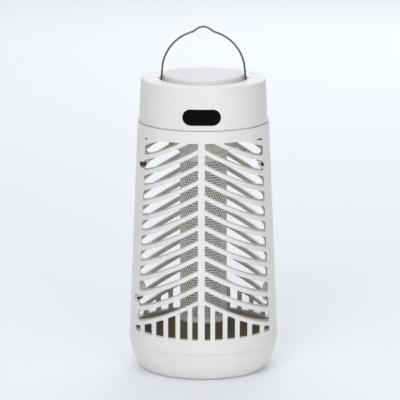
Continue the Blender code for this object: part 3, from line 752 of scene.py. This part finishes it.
def grille_sheet():
    """The wall of one half shell with all its slots, edges rounded, as a closed mesh."""
    rim = sheet_rim()
    holes = slot_loops()
    loops = [rim] + holes
    sheet_loops = [grown(rim, -EDGE_ROUND)] + [grown(hole, EDGE_ROUND) for hole in holes]
    flat = [point for loop in sheet_loops for point in loop]
    edges = []
    owner = []          # the loop that each point is on, or -1
    first = 0
    for number, loop in enumerate(sheet_loops):
        edges += [(first + i, first + (i + 1) % len(loop)) for i in range(len(loop))]
        owner += [number] * len(loop)
        first += len(loop)
    flat += grid_points(sheet_loops[0], sheet_loops[1:])
    owner += [-1] * (len(flat) - len(owner))
    triangles, origins = delaunay_2d_cdt(flat, edges, [], 0, 1e-8)[2:4]
    source = [origin[0] for origin in origins]
    true_flat = [point for loop in loops for point in loop] + flat[first:]

    shape = bmesh.new()
    outer = [shape.verts.new(outer_point(*flat[i])) for i in source]
    inner = [shape.verts.new(inner_point(*true_flat[i])) for i in source]
    for triangle in triangles:
        owners = {owner[source[i]] for i in triangle}
        if len(owners) == 1 and owners != {-1}:
            number = owners.pop()
            middle = sum((flat[source[i]] for i in triangle), Vector((0.0, 0.0))) / 3
            if inside(middle, sheet_loops[number]) != (number == 0):
                continue
        shape.faces.new([outer[i] for i in triangle])
        # the inner faces take the second material, a slightly darker, warmer tone that is painted shade
        shape.faces.new([inner[i] for i in reversed(triangle)]).material_index = 1

    where = {origin: i for i, origin in enumerate(source)}
    first = 0
    for number, (loop, sheet_loop) in enumerate(zip(loops, sheet_loops)):
        spans = [where[first + i] for i in range(len(loop))]
        rings = [[outer[i] for i in spans]]
        rings += edge_ring(shape, loop, sheet_loop, number > 0)
        rings.append([inner[i] for i in spans])
        skin(shape, rings, capped=False)
        first += len(loop)
    return finished("front_grille_fine", shape)


def boss_post(x, z):
    """A screw boss with the web that ties it to the side column."""
    length = BOSS_FACE_Y - BOSS_FOOT_Y
    middle = (x, -BOSS_FOOT_Y - length / 2, z)
    post = rod("post", BOSS_R, length, middle, (0, 1, 0), 0.4 * MM, BOSS_TURN)
    reach = tower_radius(z) - 1.4 * MM - abs(x)
    centre = (x + math.copysign(reach / 2, x), -WEB_DEPTH / 2 - 0.4 * MM, z)
    return [post, box_piece("web", (reach, WEB_DEPTH, WEB_HEIGHT), centre, 0.3 * MM)]


def boss_bores(x, z):
    """The counterbored hole of a boss pair's head side, and the plain hole of its thread side."""
    depth = 20 * MM
    head = rod("head_bore", HEAD_BORE_R, depth, (-x, -HEAD_SEAT_Y - depth / 2, z), (0, 1, 0), 0.0, BOSS_TURN)
    return [head] + [drill(SHANK_BORE_R, 3 * depth, (place, -depth, z), (0, 1, 0)) for place in (-x, x)]


def part_ring(profile, span, steps):
    """A stretch of a ring between two bearings."""
    shape = bmesh.new()
    add_turned(shape, profile, True, steps, span)
    return finished("ring_part", shape)


def latch(radius, z, depth, angle):
    """A bayonet hook or lug that follows the ring."""
    low, high = z - LATCH_HEIGHT / 2, z + LATCH_HEIGHT / 2
    near, far = radius - depth / 2, radius + depth / 2
    edge = 0.2 * MM
    profile = rounded([(near, low, edge), (far, low, edge), (far, high, edge), (near, high, edge)])
    half = math.degrees(LATCH_LENGTH / 2 / radius)
    return part_ring(profile, (angle - half, angle + half), LATCH_STEPS)


def grille_half():
    """One half shell: slatted wall, bosses, inner ledge and bayonet hooks."""
    shell = grille_sheet()
    posts = [piece for x, z in SCREW_LEVELS for side in (-1, 1) for piece in boss_post(side * x, z)]
    shell = combined(shell, posts, "UNION")
    shell = combined(shell, [bore for x, z in SCREW_LEVELS for bore in boss_bores(x, z)], "DIFFERENCE")
    ledge_r, low, high = LEDGE
    root = tower_radius(low) - GRILLE_WALL / 2
    slope = 1.2 * MM
    edge = 0.3 * MM
    ledge = rounded([(root, low), (ledge_r, low + slope, edge), (ledge_r, high, edge), (root, high)])
    parts = [shell, part_ring(ledge, (180.3, 359.7), FINE_TURN // 2)]
    parts += [latch(HOOK_R, HOOK_Z, HOOK_DEPTH, angle) for angle in QUARTERS[2:]]
    return merged("front_grille_fine", parts)


def mark_ledge(mesh):
    """Gives the ledge under the cap the material of the shell's inner face, whose darker, warmer tone is
    painted shade.
    """
    _, low, high = LEDGE
    for face in mesh.polygons:
        place = face.center
        within = low - 0.1 * MM < place.z < high + 0.1 * MM
        if within and math.hypot(place.x, place.y) < tower_radius(place.z) - GRILLE_WALL:
            face.material_index = 1


def build_grilles():
    """Both half shells, from one moulding."""
    front = grille_half()
    mark_ledge(front.data)
    weighted = front.modifiers.new("even_shading", "WEIGHTED_NORMAL")
    weighted.keep_sharp = True
    rear = front.copy()
    rear.name = "rear_grille_fine"
    rear.data = front.data.copy()
    bpy.context.scene.collection.objects.link(rear)
    placed(rear, Matrix.Rotation(math.pi, 4, "Z"))
    dress(front, "body_plastic", "tower", "front_grille")
    dress(rear, "body_plastic", "tower", "rear_grille")
    for half in (front, rear):
        # second material for the inner faces: painted shade
        half.data.materials.append(MATERIALS["shell_inside"])


# ---------------- screws

def screw(name, head_centre, towards, head_r, head_h, length):
    """A pan-head screw with a cross recess and a threaded shank, its head's outer face at head_centre."""
    corners = [
        (0.0, 0.0), (head_r * 0.7, 0.0, head_h * 0.3), (head_r, -head_h * 0.5, head_h * 0.3),
        (head_r, -head_h, 0.1 * MM), (SHANK_R, -head_h),
    ]
    for i in range(int(length * 0.85 / THREAD_PITCH)):
        z = -head_h - 0.5 * MM - THREAD_PITCH * i
        corners += [(SHANK_R * 0.78, z), (SHANK_R, z - THREAD_PITCH * 0.5)]
    corners += [(SHANK_R * 0.7, -head_h - length * 0.92), (0.0, -head_h - length)]
    body = turned(name, rounded(corners, closed=False, steps=3), False, BORE_TURN)
    reach, width, depth = head_r * 1.15, 0.55 * MM, 1.6 * MM
    cross = [box_piece("recess", size, (0, 0, 0), 0.08 * MM)
             for size in ((reach, width, depth), (width, reach, depth))]
    combined(body, cross, "DIFFERENCE")
    return placed(body, Matrix.Translation(head_centre) @ along(-Vector(towards)))


def build_screw(name, place, towards, size):
    dress(screw(name + "_fine", place, towards, *size), "screw_brass", "tower", name)


def build_screws():
    """Body screws from the front at the left and from the rear at the right, then those from below."""
    seats = [(side * x, side, z) for x, z in SCREW_LEVELS for side in (-1, 1)]
    for number, (x, side, z) in enumerate(seats, 1):
        build_screw(f"body_screw_{number}", (x, side * HEAD_FACE_Y, z), (0, -side, 0), BODY_SCREW)
    for number, angle in enumerate(QUARTERS, 1):
        name = f"cap_screw_{number}"
        build_screw(name, polar(CAP_SCREW_R, angle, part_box(name)[0].z), (0, 0, 1), CAP_SCREW)
    build_screw("end_screw", (0.0, 0.0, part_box("end_screw")[0].z), (0, 0, 1), END_SCREW)


# ---------------- cap, window and socket

def cap_radius(z):
    """Outer radius of the cap at a height."""
    return CAP_LOW_R - CAP_TAPER * (z - CAP_LOW_Z)


def obround(width, height, grow=0.0):
    """Outline of a rounded slot in the XZ plane round the window's centre, enlarged by grow."""
    radius = height / 2 + grow
    half = (width - height) / 2
    steps = 20
    points = []
    for side, first in ((1, -90), (-1, 90)):
        for i in range(steps + 1):
            angle = math.radians(first + 180 * i / steps)
            points.append((side * half + radius * math.cos(angle), LENS_Z + radius * math.sin(angle)))
    return points


def cap_profile():
    """Profile of the cap, with rows of points down its side that keep the facets short."""
    under_z = CAP_TOP_Z - CAP_WALL
    floor_low = WELL_FLOOR_Z - 1.6 * MM
    lip = cap_radius(CAP_LOW_Z)
    stem_hole_r = STEM_R + STEM_GAP
    well_outer_r = WELL_R + 2.0 * MM
    side = [(cap_radius(z * MM), z * MM) for z in (227.0, 221.0, 215.0, 209.0, 204.0)]
    corners = [(WELL_R, CAP_TOP_Z, 0.8 * MM), (cap_radius(CAP_TOP_Z), CAP_TOP_Z, CAP_EDGE_R)] + side
    corners += [
        (lip, CAP_LOW_Z, 0.35 * MM),
        (CAP_REBATE_R, CAP_LOW_Z, 0.2 * MM), (CAP_REBATE_R, CAP_LOW_Z + 1.6 * MM),
        (lip - CAP_WALL, CAP_LOW_Z + 2.6 * MM, 0.5 * MM), (cap_radius(under_z) - CAP_WALL, under_z, 1.0 * MM),
        (well_outer_r, under_z, 0.6 * MM), (well_outer_r, floor_low, 0.6 * MM),
        (stem_hole_r, floor_low), (stem_hole_r, WELL_FLOOR_Z, 0.3 * MM), (WELL_R, WELL_FLOOR_Z, 0.5 * MM),
    ]
    return rounded(corners, steps=6)


def build_cap():
    """Cap with its screw bosses, window, socket hole and the bail's pivot bores and pockets."""
    cap = turned("cap_shell_fine", cap_profile())
    boss_top = CAP_TOP_Z - 1.0 * MM
    length = boss_top - CAP_LOW_Z - 0.1 * MM
    bosses = [rod("cap_boss", CAP_BOSS_R, length, polar(CAP_SCREW_R, angle, boss_top - length / 2), (0, 0, 1))
              for angle in QUARTERS]
    combined(cap, bosses, "UNION")
    cuts = [drill(PILOT_R, 24 * MM, polar(CAP_SCREW_R, angle, CAP_LOW_Z), (0, 0, 1)) for angle in QUARTERS]
    inside_y, outside_y = 30 * MM, 60 * MM
    cuts.append(prism("lens_hole", obround(LENS_W, LENS_H, FIT_GAP), -outside_y, -inside_y))
    cuts.append(prism("socket_hole", obround(SOCKET_W, SOCKET_H, FIT_GAP), inside_y, outside_y))
    cuts.append(drill(WIRE_R + 0.25 * MM, 90 * MM, (0, 0, BAIL_PIVOT_Z), (1, 0, 0)))
    for side in (-1, 1):
        centre = (side * POCKET_X, 0, CAP_TOP_Z + 0.2 * MM)
        cuts.append(rod("pocket", POCKET_R, 3.0 * MM, centre, (0, 0, 1), 0.3 * MM, steps=40))
    combined(cap, cuts, "DIFFERENCE")
    dress(cap, "body_plastic", "tower", "cap_shell")


def build_lens():
    """Gloss lens that follows the cap's wall, with a rounded rim."""
    rim, steps = LENS_RIM, 8
    sections = [(0.0, LENS_DEPTH), (0.0, rim)]      # each ring's growth and its depth under the surface
    sections += [(-0.15 * rim, 0.5 * rim), (-0.5 * rim, 0.15 * rim), (-rim, 0.0)]
    sections += [(-rim - (LENS_H / 2 - rim) * i / steps, 0.0) for i in range(1, steps)]
    shape = bmesh.new()
    rings = []
    for grow, sink in sections:
        ring = []
        for x, z in obround(LENS_W, LENS_H, grow):
            r = cap_radius(z) - LENS_SINK - sink
            ring.append(shape.verts.new((x, -math.sqrt(r * r - x * x), z)))
        rings.append(ring)
    skin(shape, rings)
    dress(finished("indicator_window_fine", shape), "black_lens", "tower", "indicator_window")


def build_socket():
    """Charging socket: a rolled metal mouth with its contact tongue."""
    shell = prism("usb_socket_fine", obround(SOCKET_W, SOCKET_H), SOCKET_REAR_Y, SOCKET_MOUTH_Y)
    opening = obround(SOCKET_W, SOCKET_H, -0.35 * MM)
    mouth = prism("mouth", opening, SOCKET_REAR_Y + 1.0 * MM, SOCKET_MOUTH_Y + 2.0 * MM)
    combined(shell, [mouth], "DIFFERENCE")
    dress(shell, "spring_steel", "tower", "usb_socket")
    size = (6.4 * MM, 6.6 * MM, 0.7 * MM)
    tongue = box_piece("socket_tongue", size, (0, SOCKET_REAR_Y + 3.9 * MM, LENS_Z), 0.15 * MM)
    dress(tongue, "black_plastic", "tower")


# ---------------- switch and bail

def build_button():
    """Press switch: a disc with a skirt, on a stem grooved for its clip."""
    roof = BUTTON_TOP_Z - BUTTON_ROOF
    inner_r = BUTTON_R - BUTTON_SKIRT
    groove_r, groove_low, groove_top = CLIP_GROOVE
    corners = [
        (0.0, BUTTON_TOP_Z), (BUTTON_R * 0.5, BUTTON_TOP_Z), (BUTTON_R, BUTTON_TOP_Z, 1.0 * MM),
        (BUTTON_R, BUTTON_SKIRT_Z, 0.3 * MM), (inner_r, BUTTON_SKIRT_Z, 0.3 * MM), (inner_r, roof, 0.6 * MM),
        (STEM_R, roof, 0.6 * MM), (STEM_R, groove_top), (groove_r, groove_top), (groove_r, groove_low),
        (STEM_R, groove_low), (STEM_R, STEM_LOW_Z, 0.4 * MM), (0.0, STEM_LOW_Z),
    ]
    button = turned("top_button_fine", rounded(corners, closed=False), False)
    dress(button, "button_plastic", "button", "top_button")


def build_spring():
    """Coil spring under the disc, which shortens by the switch's travel."""
    low = WELL_FLOOR_Z + 1.0 * MM
    high = BUTTON_TOP_Z - BUTTON_ROOF - 1.0 * MM
    per_turn, sides = 48, 12
    steps = SPRING_TURNS * per_turn
    up = Vector((0.0, 0.0, 1.0))
    shape = bmesh.new()
    rings = []
    for i in range(steps + 1):
        outward = polar(1.0, 360 * i / per_turn, 0.0)
        centre = SPRING_R * outward + (low + (high - low) * i / steps) * up
        rings.append(wire_ring(shape, centre, outward, up, SPRING_WIRE_R, sides))
    skin(shape, rings)
    spring = dress(finished("button_spring_fine", shape), "spring_steel", "tower", "button_spring")
    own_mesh(spring)


def bail_line():
    """Centre line of the bail in the XZ plane, from one foot over the hump to the other."""
    x = BAIL_LEG_X
    foot = rounded([
        (x + 4.4 * MM, BAIL_PIVOT_Z), (x, BAIL_PIVOT_Z, 1.3 * MM), (x, BAIL_PIVOT_Z + 2.6 * MM),
    ], closed=False, steps=8)
    hump_start = math.degrees(math.acos(HUMP_HALF / BAIL_ARC_R))
    side = arc(0.0, BAIL_ARC_Z, BAIL_ARC_R, BAIL_ARC_R, 4, hump_start, 56)
    shoulder_z = side[-1][1]
    rise = BAIL_TOP_Z - WIRE_R - shoulder_z
    steps = 32
    fullness = 1.15             # above 1 narrows the hump
    hump = []
    for i in range(1, steps):
        share = i / steps
        hump.append((HUMP_HALF * (1 - share), shoulder_z + rise * math.sin(share * math.pi / 2) ** fullness))
    half = [tuple(p) for p in foot] + side + hump
    return half + [(0.0, BAIL_TOP_Z - WIRE_R)] + [(-a, b) for a, b in reversed(half)]


def build_bail():
    """The wire of the bail."""
    line = [Vector((x, 0.0, z)) for x, z in bail_line()]
    shape = bmesh.new()
    rings = []
    for i, here in enumerate(line):
        run = (line[min(i + 1, len(line) - 1)] - line[max(i - 1, 0)]).normalized()
        across = Vector((run.z, 0.0, -run.x))
        rings.append(wire_ring(shape, here, across, Vector((0.0, 1.0, 0.0)), WIRE_R, 20))
    skin(shape, rings)
    dress(finished("wire_bail_fine", shape), "bail_wire", "bail", "wire_bail")


# ---------------- lamp column

def perforated_tube(name, radius, low, high, pitch, hole):
    """A tube of sheet with staggered rounded holes. A hole is its (width, height) share of the pitch."""
    shape = bmesh.new()
    margin = 1.0 * MM
    around = round(math.tau * radius / pitch)
    rows = round((high - low - 2 * margin) / pitch)
    row_step = (high - low - 2 * margin) / rows
    outline = [(-1, -1), (0, -1), (1, -1), (1, 0), (1, 1), (0, 1), (-1, 1), (-1, 0)]
    diagonal = 0.76             # how far a hole's corners are drawn in
    edge = {}

    def spot(half_steps, height):
        """The shared vertex at a half-pitch step round the tube and a height."""
        key = (half_steps % (2 * around), round(height * 1e7))
        if key not in edge:
            angle = math.pi * half_steps / around
            edge[key] = shape.verts.new((radius * math.cos(angle), radius * math.sin(angle), height))
        return edge[key]

    for row in range(rows):
        middle = low + margin + (row + 0.5) * row_step
        for column in range(around):
            centre = 2 * column + 1 + row % 2
            frame_ring = [spot(centre + a, middle + b * row_step / 2) for a, b in outline]
            hole_ring = []
            for a, b in outline:
                shrink = diagonal if a and b else 1.0
                angle = math.pi * (centre + a * shrink * hole[0]) / around
                z = middle + b * shrink * hole[1] * row_step / 2
                hole_ring.append(shape.verts.new((radius * math.cos(angle), radius * math.sin(angle), z)))
            for i in range(8):
                shape.faces.new((frame_ring[i - 1], frame_ring[i], hole_ring[i], hole_ring[i - 1]))
    for end, joint in ((low, low + margin), (high, high - margin)):
        for k in range(2 * around):
            shape.faces.new((spot(k, end), spot(k + 1, end), spot(k + 1, joint), spot(k, joint)))
    bmesh.ops.recalc_face_normals(shape, faces=shape.faces)
    bmesh.ops.solidify(shape, geom=shape.faces[:], thickness=MESH_SHEET)
    return finished(name, shape)


def build_meshes():
    """The two tubes of the grid. The inner one gets a much darker copy of the steel, painted shade seen
    through the outer one's holes.
    """
    outer = perforated_tube("outer_mesh_fine", MESH_R - MESH_WALL, MESH_LOW_Z, MESH_TOP_Z, *OUTER_HOLES)
    dress(outer, "mesh_steel", "tower", "outer_mesh")
    inner = perforated_tube("inner_mesh_fine", INNER_MESH_R - MESH_WALL, *INNER_MESH_Z, *INNER_HOLES)
    dress(inner, "mesh_steel", "tower", "inner_mesh")
    # dark copy of the steel on the inner tube: painted shade
    inner.data.materials[0] = MATERIALS["inner_mesh_steel"]


def build_holder():
    """Flanged cup under the cap that holds the lamp and the grid."""
    edge = 0.4 * MM
    floor_r = 10.5 * MM
    floor_top = HOLDER_LOW_Z + 2.0 * MM
    flange_r, flange_low, flange_top = HOLDER_FLANGE
    inner_r = HOLDER_R - 2.0 * MM
    holder = turned("upper_holder_fine", rounded([
        (flange_r, flange_top, edge), (flange_r, flange_low, edge), (HOLDER_R, flange_low, 0.8 * MM),
        (HOLDER_R, HOLDER_LOW_Z, 1.0 * MM), (floor_r, HOLDER_LOW_Z, 0.2 * MM), (floor_r, floor_top, 0.2 * MM),
        (inner_r, floor_top, 0.6 * MM), (inner_r, flange_top, edge),
    ]))
    spots = [polar(CAP_SCREW_R, angle, flange_low) for angle in QUARTERS]
    combined(holder, [drill(SHANK_BORE_R, 6 * MM, spot, (0, 0, 1)) for spot in spots], "DIFFERENCE")
    dress(holder, "grey_plastic", "tower", "upper_holder")


def build_insulators():
    """The mouldings that close the grid's two ends and centre the lamp tube."""
    edge = 0.4 * MM
    spigot_r = MESH_R - MESH_WALL - FIT_GAP
    bore_r = LAMP_R + FIT_GAP
    low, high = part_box("upper_insulator")
    flange_z = MESH_TOP_Z + FIT_GAP
    upper = turned("upper_insulator_fine", rounded([
        (high.x, high.z, edge), (high.x, flange_z, edge), (spigot_r, flange_z), (spigot_r, low.z, edge),
        (bore_r, low.z, edge), (bore_r, high.z, edge),
    ]), steps=COLUMN_TURN)
    dress(upper, "grey_plastic", "tower", "upper_insulator")
    low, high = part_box("lower_insulator")
    rim = MESH_LOW_Z - FIT_GAP
    lower = turned("lower_insulator_fine", rounded([
        (bore_r, high.z, edge), (spigot_r, high.z, edge), (spigot_r, rim), (high.x, rim, 0.3 * MM),
        (high.x, low.z, 0.3 * MM), (PILOT_R, low.z), (PILOT_R, rim), (bore_r, rim),
    ]), steps=COLUMN_TURN)
    dress(lower, "grey_plastic", "tower", "lower_insulator")


def build_lamp():
    """Frosted tube, and the rows of lamps on both sides of the bar in it."""
    low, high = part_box("lamp_tube")
    floor_z = low.z + LAMP_WALL
    inner_r = LAMP_R - LAMP_WALL
    tube = turned("lamp_tube_fine", rounded([
        (LAMP_R, high.z, 0.3 * MM), (LAMP_R, low.z, 1.0 * MM), (PILOT_R, low.z), (PILOT_R, floor_z),
        (inner_r, floor_z, 0.6 * MM), (inner_r, high.z, 0.3 * MM),
    ]), steps=COLUMN_TURN)
    dress(tube, "lamp_diffuser", "tower", "lamp_tube")
    size = (2.8 * MM, 0.6 * MM, 2.8 * MM)
    for name, side in (("front_lamps", -1), ("rear_lamps", 1)):
        places = [(0, side * CHIP_Y, CHIP_LOW_Z + CHIP_PITCH * i) for i in range(CHIP_COUNT)]
        chips = [box_piece("chip", size, place, 0.15 * MM) for place in places]
        dress(merged(name, chips), "lamp_diffuser", "tower")


# ---------------- tray and foot

def tray_profile():
    """Profile of the tray: bowl with a ridge, collar, rounded side and the groove of the foot."""
    centre_r = TRAY_SIDE_R - TRAY_ARC_R
    bottom = TRAY_FLOOR_Z
    edge = 0.9 * MM
    start = math.degrees(math.asin((TRAY_RIM_Z - 0.4 * MM - TRAY_ARC_Z) / TRAY_ARC_DROP))
    stop = math.degrees(math.asin((bottom + edge - TRAY_ARC_Z) / TRAY_ARC_DROP))
    outer = arc(centre_r, TRAY_ARC_Z, TRAY_ARC_R, TRAY_ARC_DROP, start, stop, 40)
    floor_z = bottom + TRAY_WALL
    bowl_r = COLLAR_R - 1.6 * MM
    bowl_z = TRAY_ARC_Z - 4.0 * MM
    inner = arc(bowl_r - TRAY_ARC_R, bowl_z, TRAY_ARC_R, bowl_z - floor_z, -90, 0, 24)
    ridge_r, ridge_half = 32.0 * MM, 1.2 * MM
    corners = [(0.0, floor_z), (ridge_r - ridge_half, floor_z, 0.4 * MM)]
    corners += [(ridge_r, floor_z + 0.8 * MM, 0.5 * MM), (ridge_r + ridge_half, floor_z, 0.4 * MM)] + inner
    corners += [(bowl_r, COLLAR_TOP_Z, 0.5 * MM), (COLLAR_R, COLLAR_TOP_Z, 0.5 * MM), (COLLAR_R, TRAY_RIM_Z)]
    corners += [(outer[0][0] - 0.3 * MM, TRAY_RIM_Z)] + outer
    foot_near, foot_far = FOOT_R
    groove_z = bottom + FOOT_GROOVE
    corners += [
        (outer[-1][0] - edge, bottom, 0.3 * MM), (foot_far, bottom, 0.2 * MM), (foot_far, groove_z),
        (foot_near, groove_z), (foot_near, bottom, 0.2 * MM), (0.0, bottom),
    ]
    return rounded(corners, closed=False)


def build_tray():
    """Tray with its bayonet lugs, its inside faces painted dark brown as painted shade in the bowl."""
    parts = [turned("tray", tray_profile(), False)]
    parts += [latch(LUG_R, LUG_Z, LUG_DEPTH, angle) for angle in QUARTERS]
    tray = merged("base_tray_fine", parts)
    # faces inside the bowl take the dark brown second material: painted shade
    inside_z = TRAY_FLOOR_Z + FOOT_GROOVE + 0.5 * MM
    for face in tray.data.polygons:
        outward = face.normal.x * face.center.x + face.normal.y * face.center.y
        if face.center.z > inside_z and (outward < 0.0 or face.normal.z > 0.99):
            face.material_index = 1
    dress(tray, "body_plastic", "tray", "base_tray")
    # second material for the inside faces: painted shade
    tray.data.materials.append(MATERIALS["tray_inside"])


def build_foot():
    """Rubber ring with a fine groove round its underside."""
    low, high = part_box("foot_ring")
    near, far = FOOT_R[0] + FIT_GAP, FOOT_R[1] - FIT_GAP
    groove = 0.25 * MM
    middle = (near + far) / 2
    foot = turned("foot_ring_fine", rounded([
        (far, high.z, 0.15 * MM), (far, low.z, 0.2 * MM), (middle + groove, low.z, 0.1 * MM),
        (middle, low.z + groove), (middle - groove, low.z, 0.1 * MM), (near, low.z, 0.2 * MM),
        (near, high.z, 0.15 * MM),
    ]))
    dress(foot, "rubber", "tray", "foot_ring")


# ---------------- inner CAD nodes

def dress_inner_nodes():
    """Gives each CAD node that keeps its shape the material of its slot."""
    slots = {part["node"]: part["material_slot"] for part in frame["record"]["subparts"]}
    for name, node in frame["nodes"].items():
        if not node.hide_render:
            node.data.materials.clear()
            node.data.materials.append(MATERIALS[slots[name]])


# ---------------- studio

def build_floor():
    """Plain pale floor."""
    mesh = bpy.data.meshes.new("studio_floor")
    corners = [(x * FLOOR_HALF, y * FLOOR_HALF, 0) for x, y in ((-1, -1), (1, -1), (1, 1), (-1, 1))]
    mesh.from_pydata(corners, [], [(0, 1, 2, 3)])
    floor = bpy.data.objects.new("studio_floor", mesh)
    bpy.context.scene.collection.objects.link(floor)
    made, nodes, links, shader = new_material("studio_floor")
    tone = ramp(nodes, links, noise(nodes, links, 1.5), (0.86, 0.875, 0.90), (0.875, 0.89, 0.915))
    links.new(tone, shader.inputs["Base Color"])
    shader.inputs["Roughness"].default_value = 0.7
    shader.inputs["Emission Color"].default_value = (0.93, 0.96, 1.0, 1.0)
    shader.inputs["Emission Strength"].default_value = 0.08
    mesh.materials.append(made)


def area_light(name, place, target, size, power, colour=(1.0, 1.0, 1.0)):
    """A soft rectangular light, its power in watts."""
    data = bpy.data.lights.new(name, "AREA")
    data.shape = "RECTANGLE"
    data.size, data.size_y = size
    data.energy = power
    data.color = colour
    light = bpy.data.objects.new(name, data)
    light.location = place
    light.rotation_euler = (Vector(target) - Vector(place)).to_track_quat("-Z", "Y").to_euler()
    bpy.context.scene.collection.objects.link(light)


def build_lights():
    """A pale surround that is darker to the left and right, and five soft lights."""
    world = bpy.data.worlds.new("studio")
    world.use_nodes = True
    nodes, links = world.node_tree.nodes, world.node_tree.links
    place = nodes.new("ShaderNodeTexCoord")
    parts = nodes.new("ShaderNodeSeparateXYZ")
    side = nodes.new("ShaderNodeMath")
    side.operation = "ABSOLUTE"
    links.new(place.outputs["Generated"], parts.inputs["Vector"])
    links.new(parts.outputs["X"], side.inputs[0])
    sky = ramp(nodes, links, side.outputs["Value"], (0.95, 0.975, 1.0), (0.34, 0.345, 0.355), (0.40, 0.85))
    links.new(sky, nodes["Background"].inputs["Color"])
    nodes["Background"].inputs["Strength"].default_value = 0.62
    bpy.context.scene.world = world
    area_light("key", (-0.5, -1.9, 1.2), LIGHT_TARGET, (1.0, 1.2), 13.0, (1.0, 0.985, 0.96))
    area_light("fill", (0.8, -1.8, 0.7), LIGHT_TARGET, (0.8, 1.0), 6.0, (1.0, 0.99, 0.97))
    area_light("top", (0.0, 0.2, 2.0), LIGHT_TARGET, (1.2, 1.2), 6.0)
    area_light("floor_wash", (0.0, 1.9, 1.6), (0.0, 1.9, 0.0), (2.4, 1.6), 9.0, (0.97, 0.985, 1.0))
    area_light("rear", (0.3, 1.9, 1.0), LIGHT_TARGET, (1.2, 1.2), 4.0)


def build_camera():
    """Long-lens camera just right of the front and a little above the object."""
    data = bpy.data.cameras.new("camera")
    camera = bpy.data.objects.new("camera", data)
    bpy.context.scene.collection.objects.link(camera)
    turn = math.radians(CAMERA_TURN)
    camera.location = (CAMERA_DISTANCE * math.sin(turn), -CAMERA_DISTANCE * math.cos(turn), CAMERA_Z)
    reach = Vector((0.0, 0.0, TARGET_Z)) - camera.location
    camera.rotation_euler = reach.to_track_quat("-Z", "Y").to_euler()
    data.sensor_width = SENSOR_WIDTH
    data.lens = data.sensor_width * reach.length / FRAME_WIDTH
    data.shift_x = CAMERA_SHIFT
    bpy.context.scene.camera = camera


def main():
    bpy.context.scene.view_settings.view_transform = "Standard"
    build_camera()
    build_lights()
    build_floor()
    build_grilles()
    build_screws()
    build_cap()
    build_lens()
    build_socket()
    build_button()
    build_spring()
    build_bail()
    build_meshes()
    build_holder()
    build_insulators()
    build_lamp()
    build_tray()
    build_foot()
    dress_inner_nodes()


main()
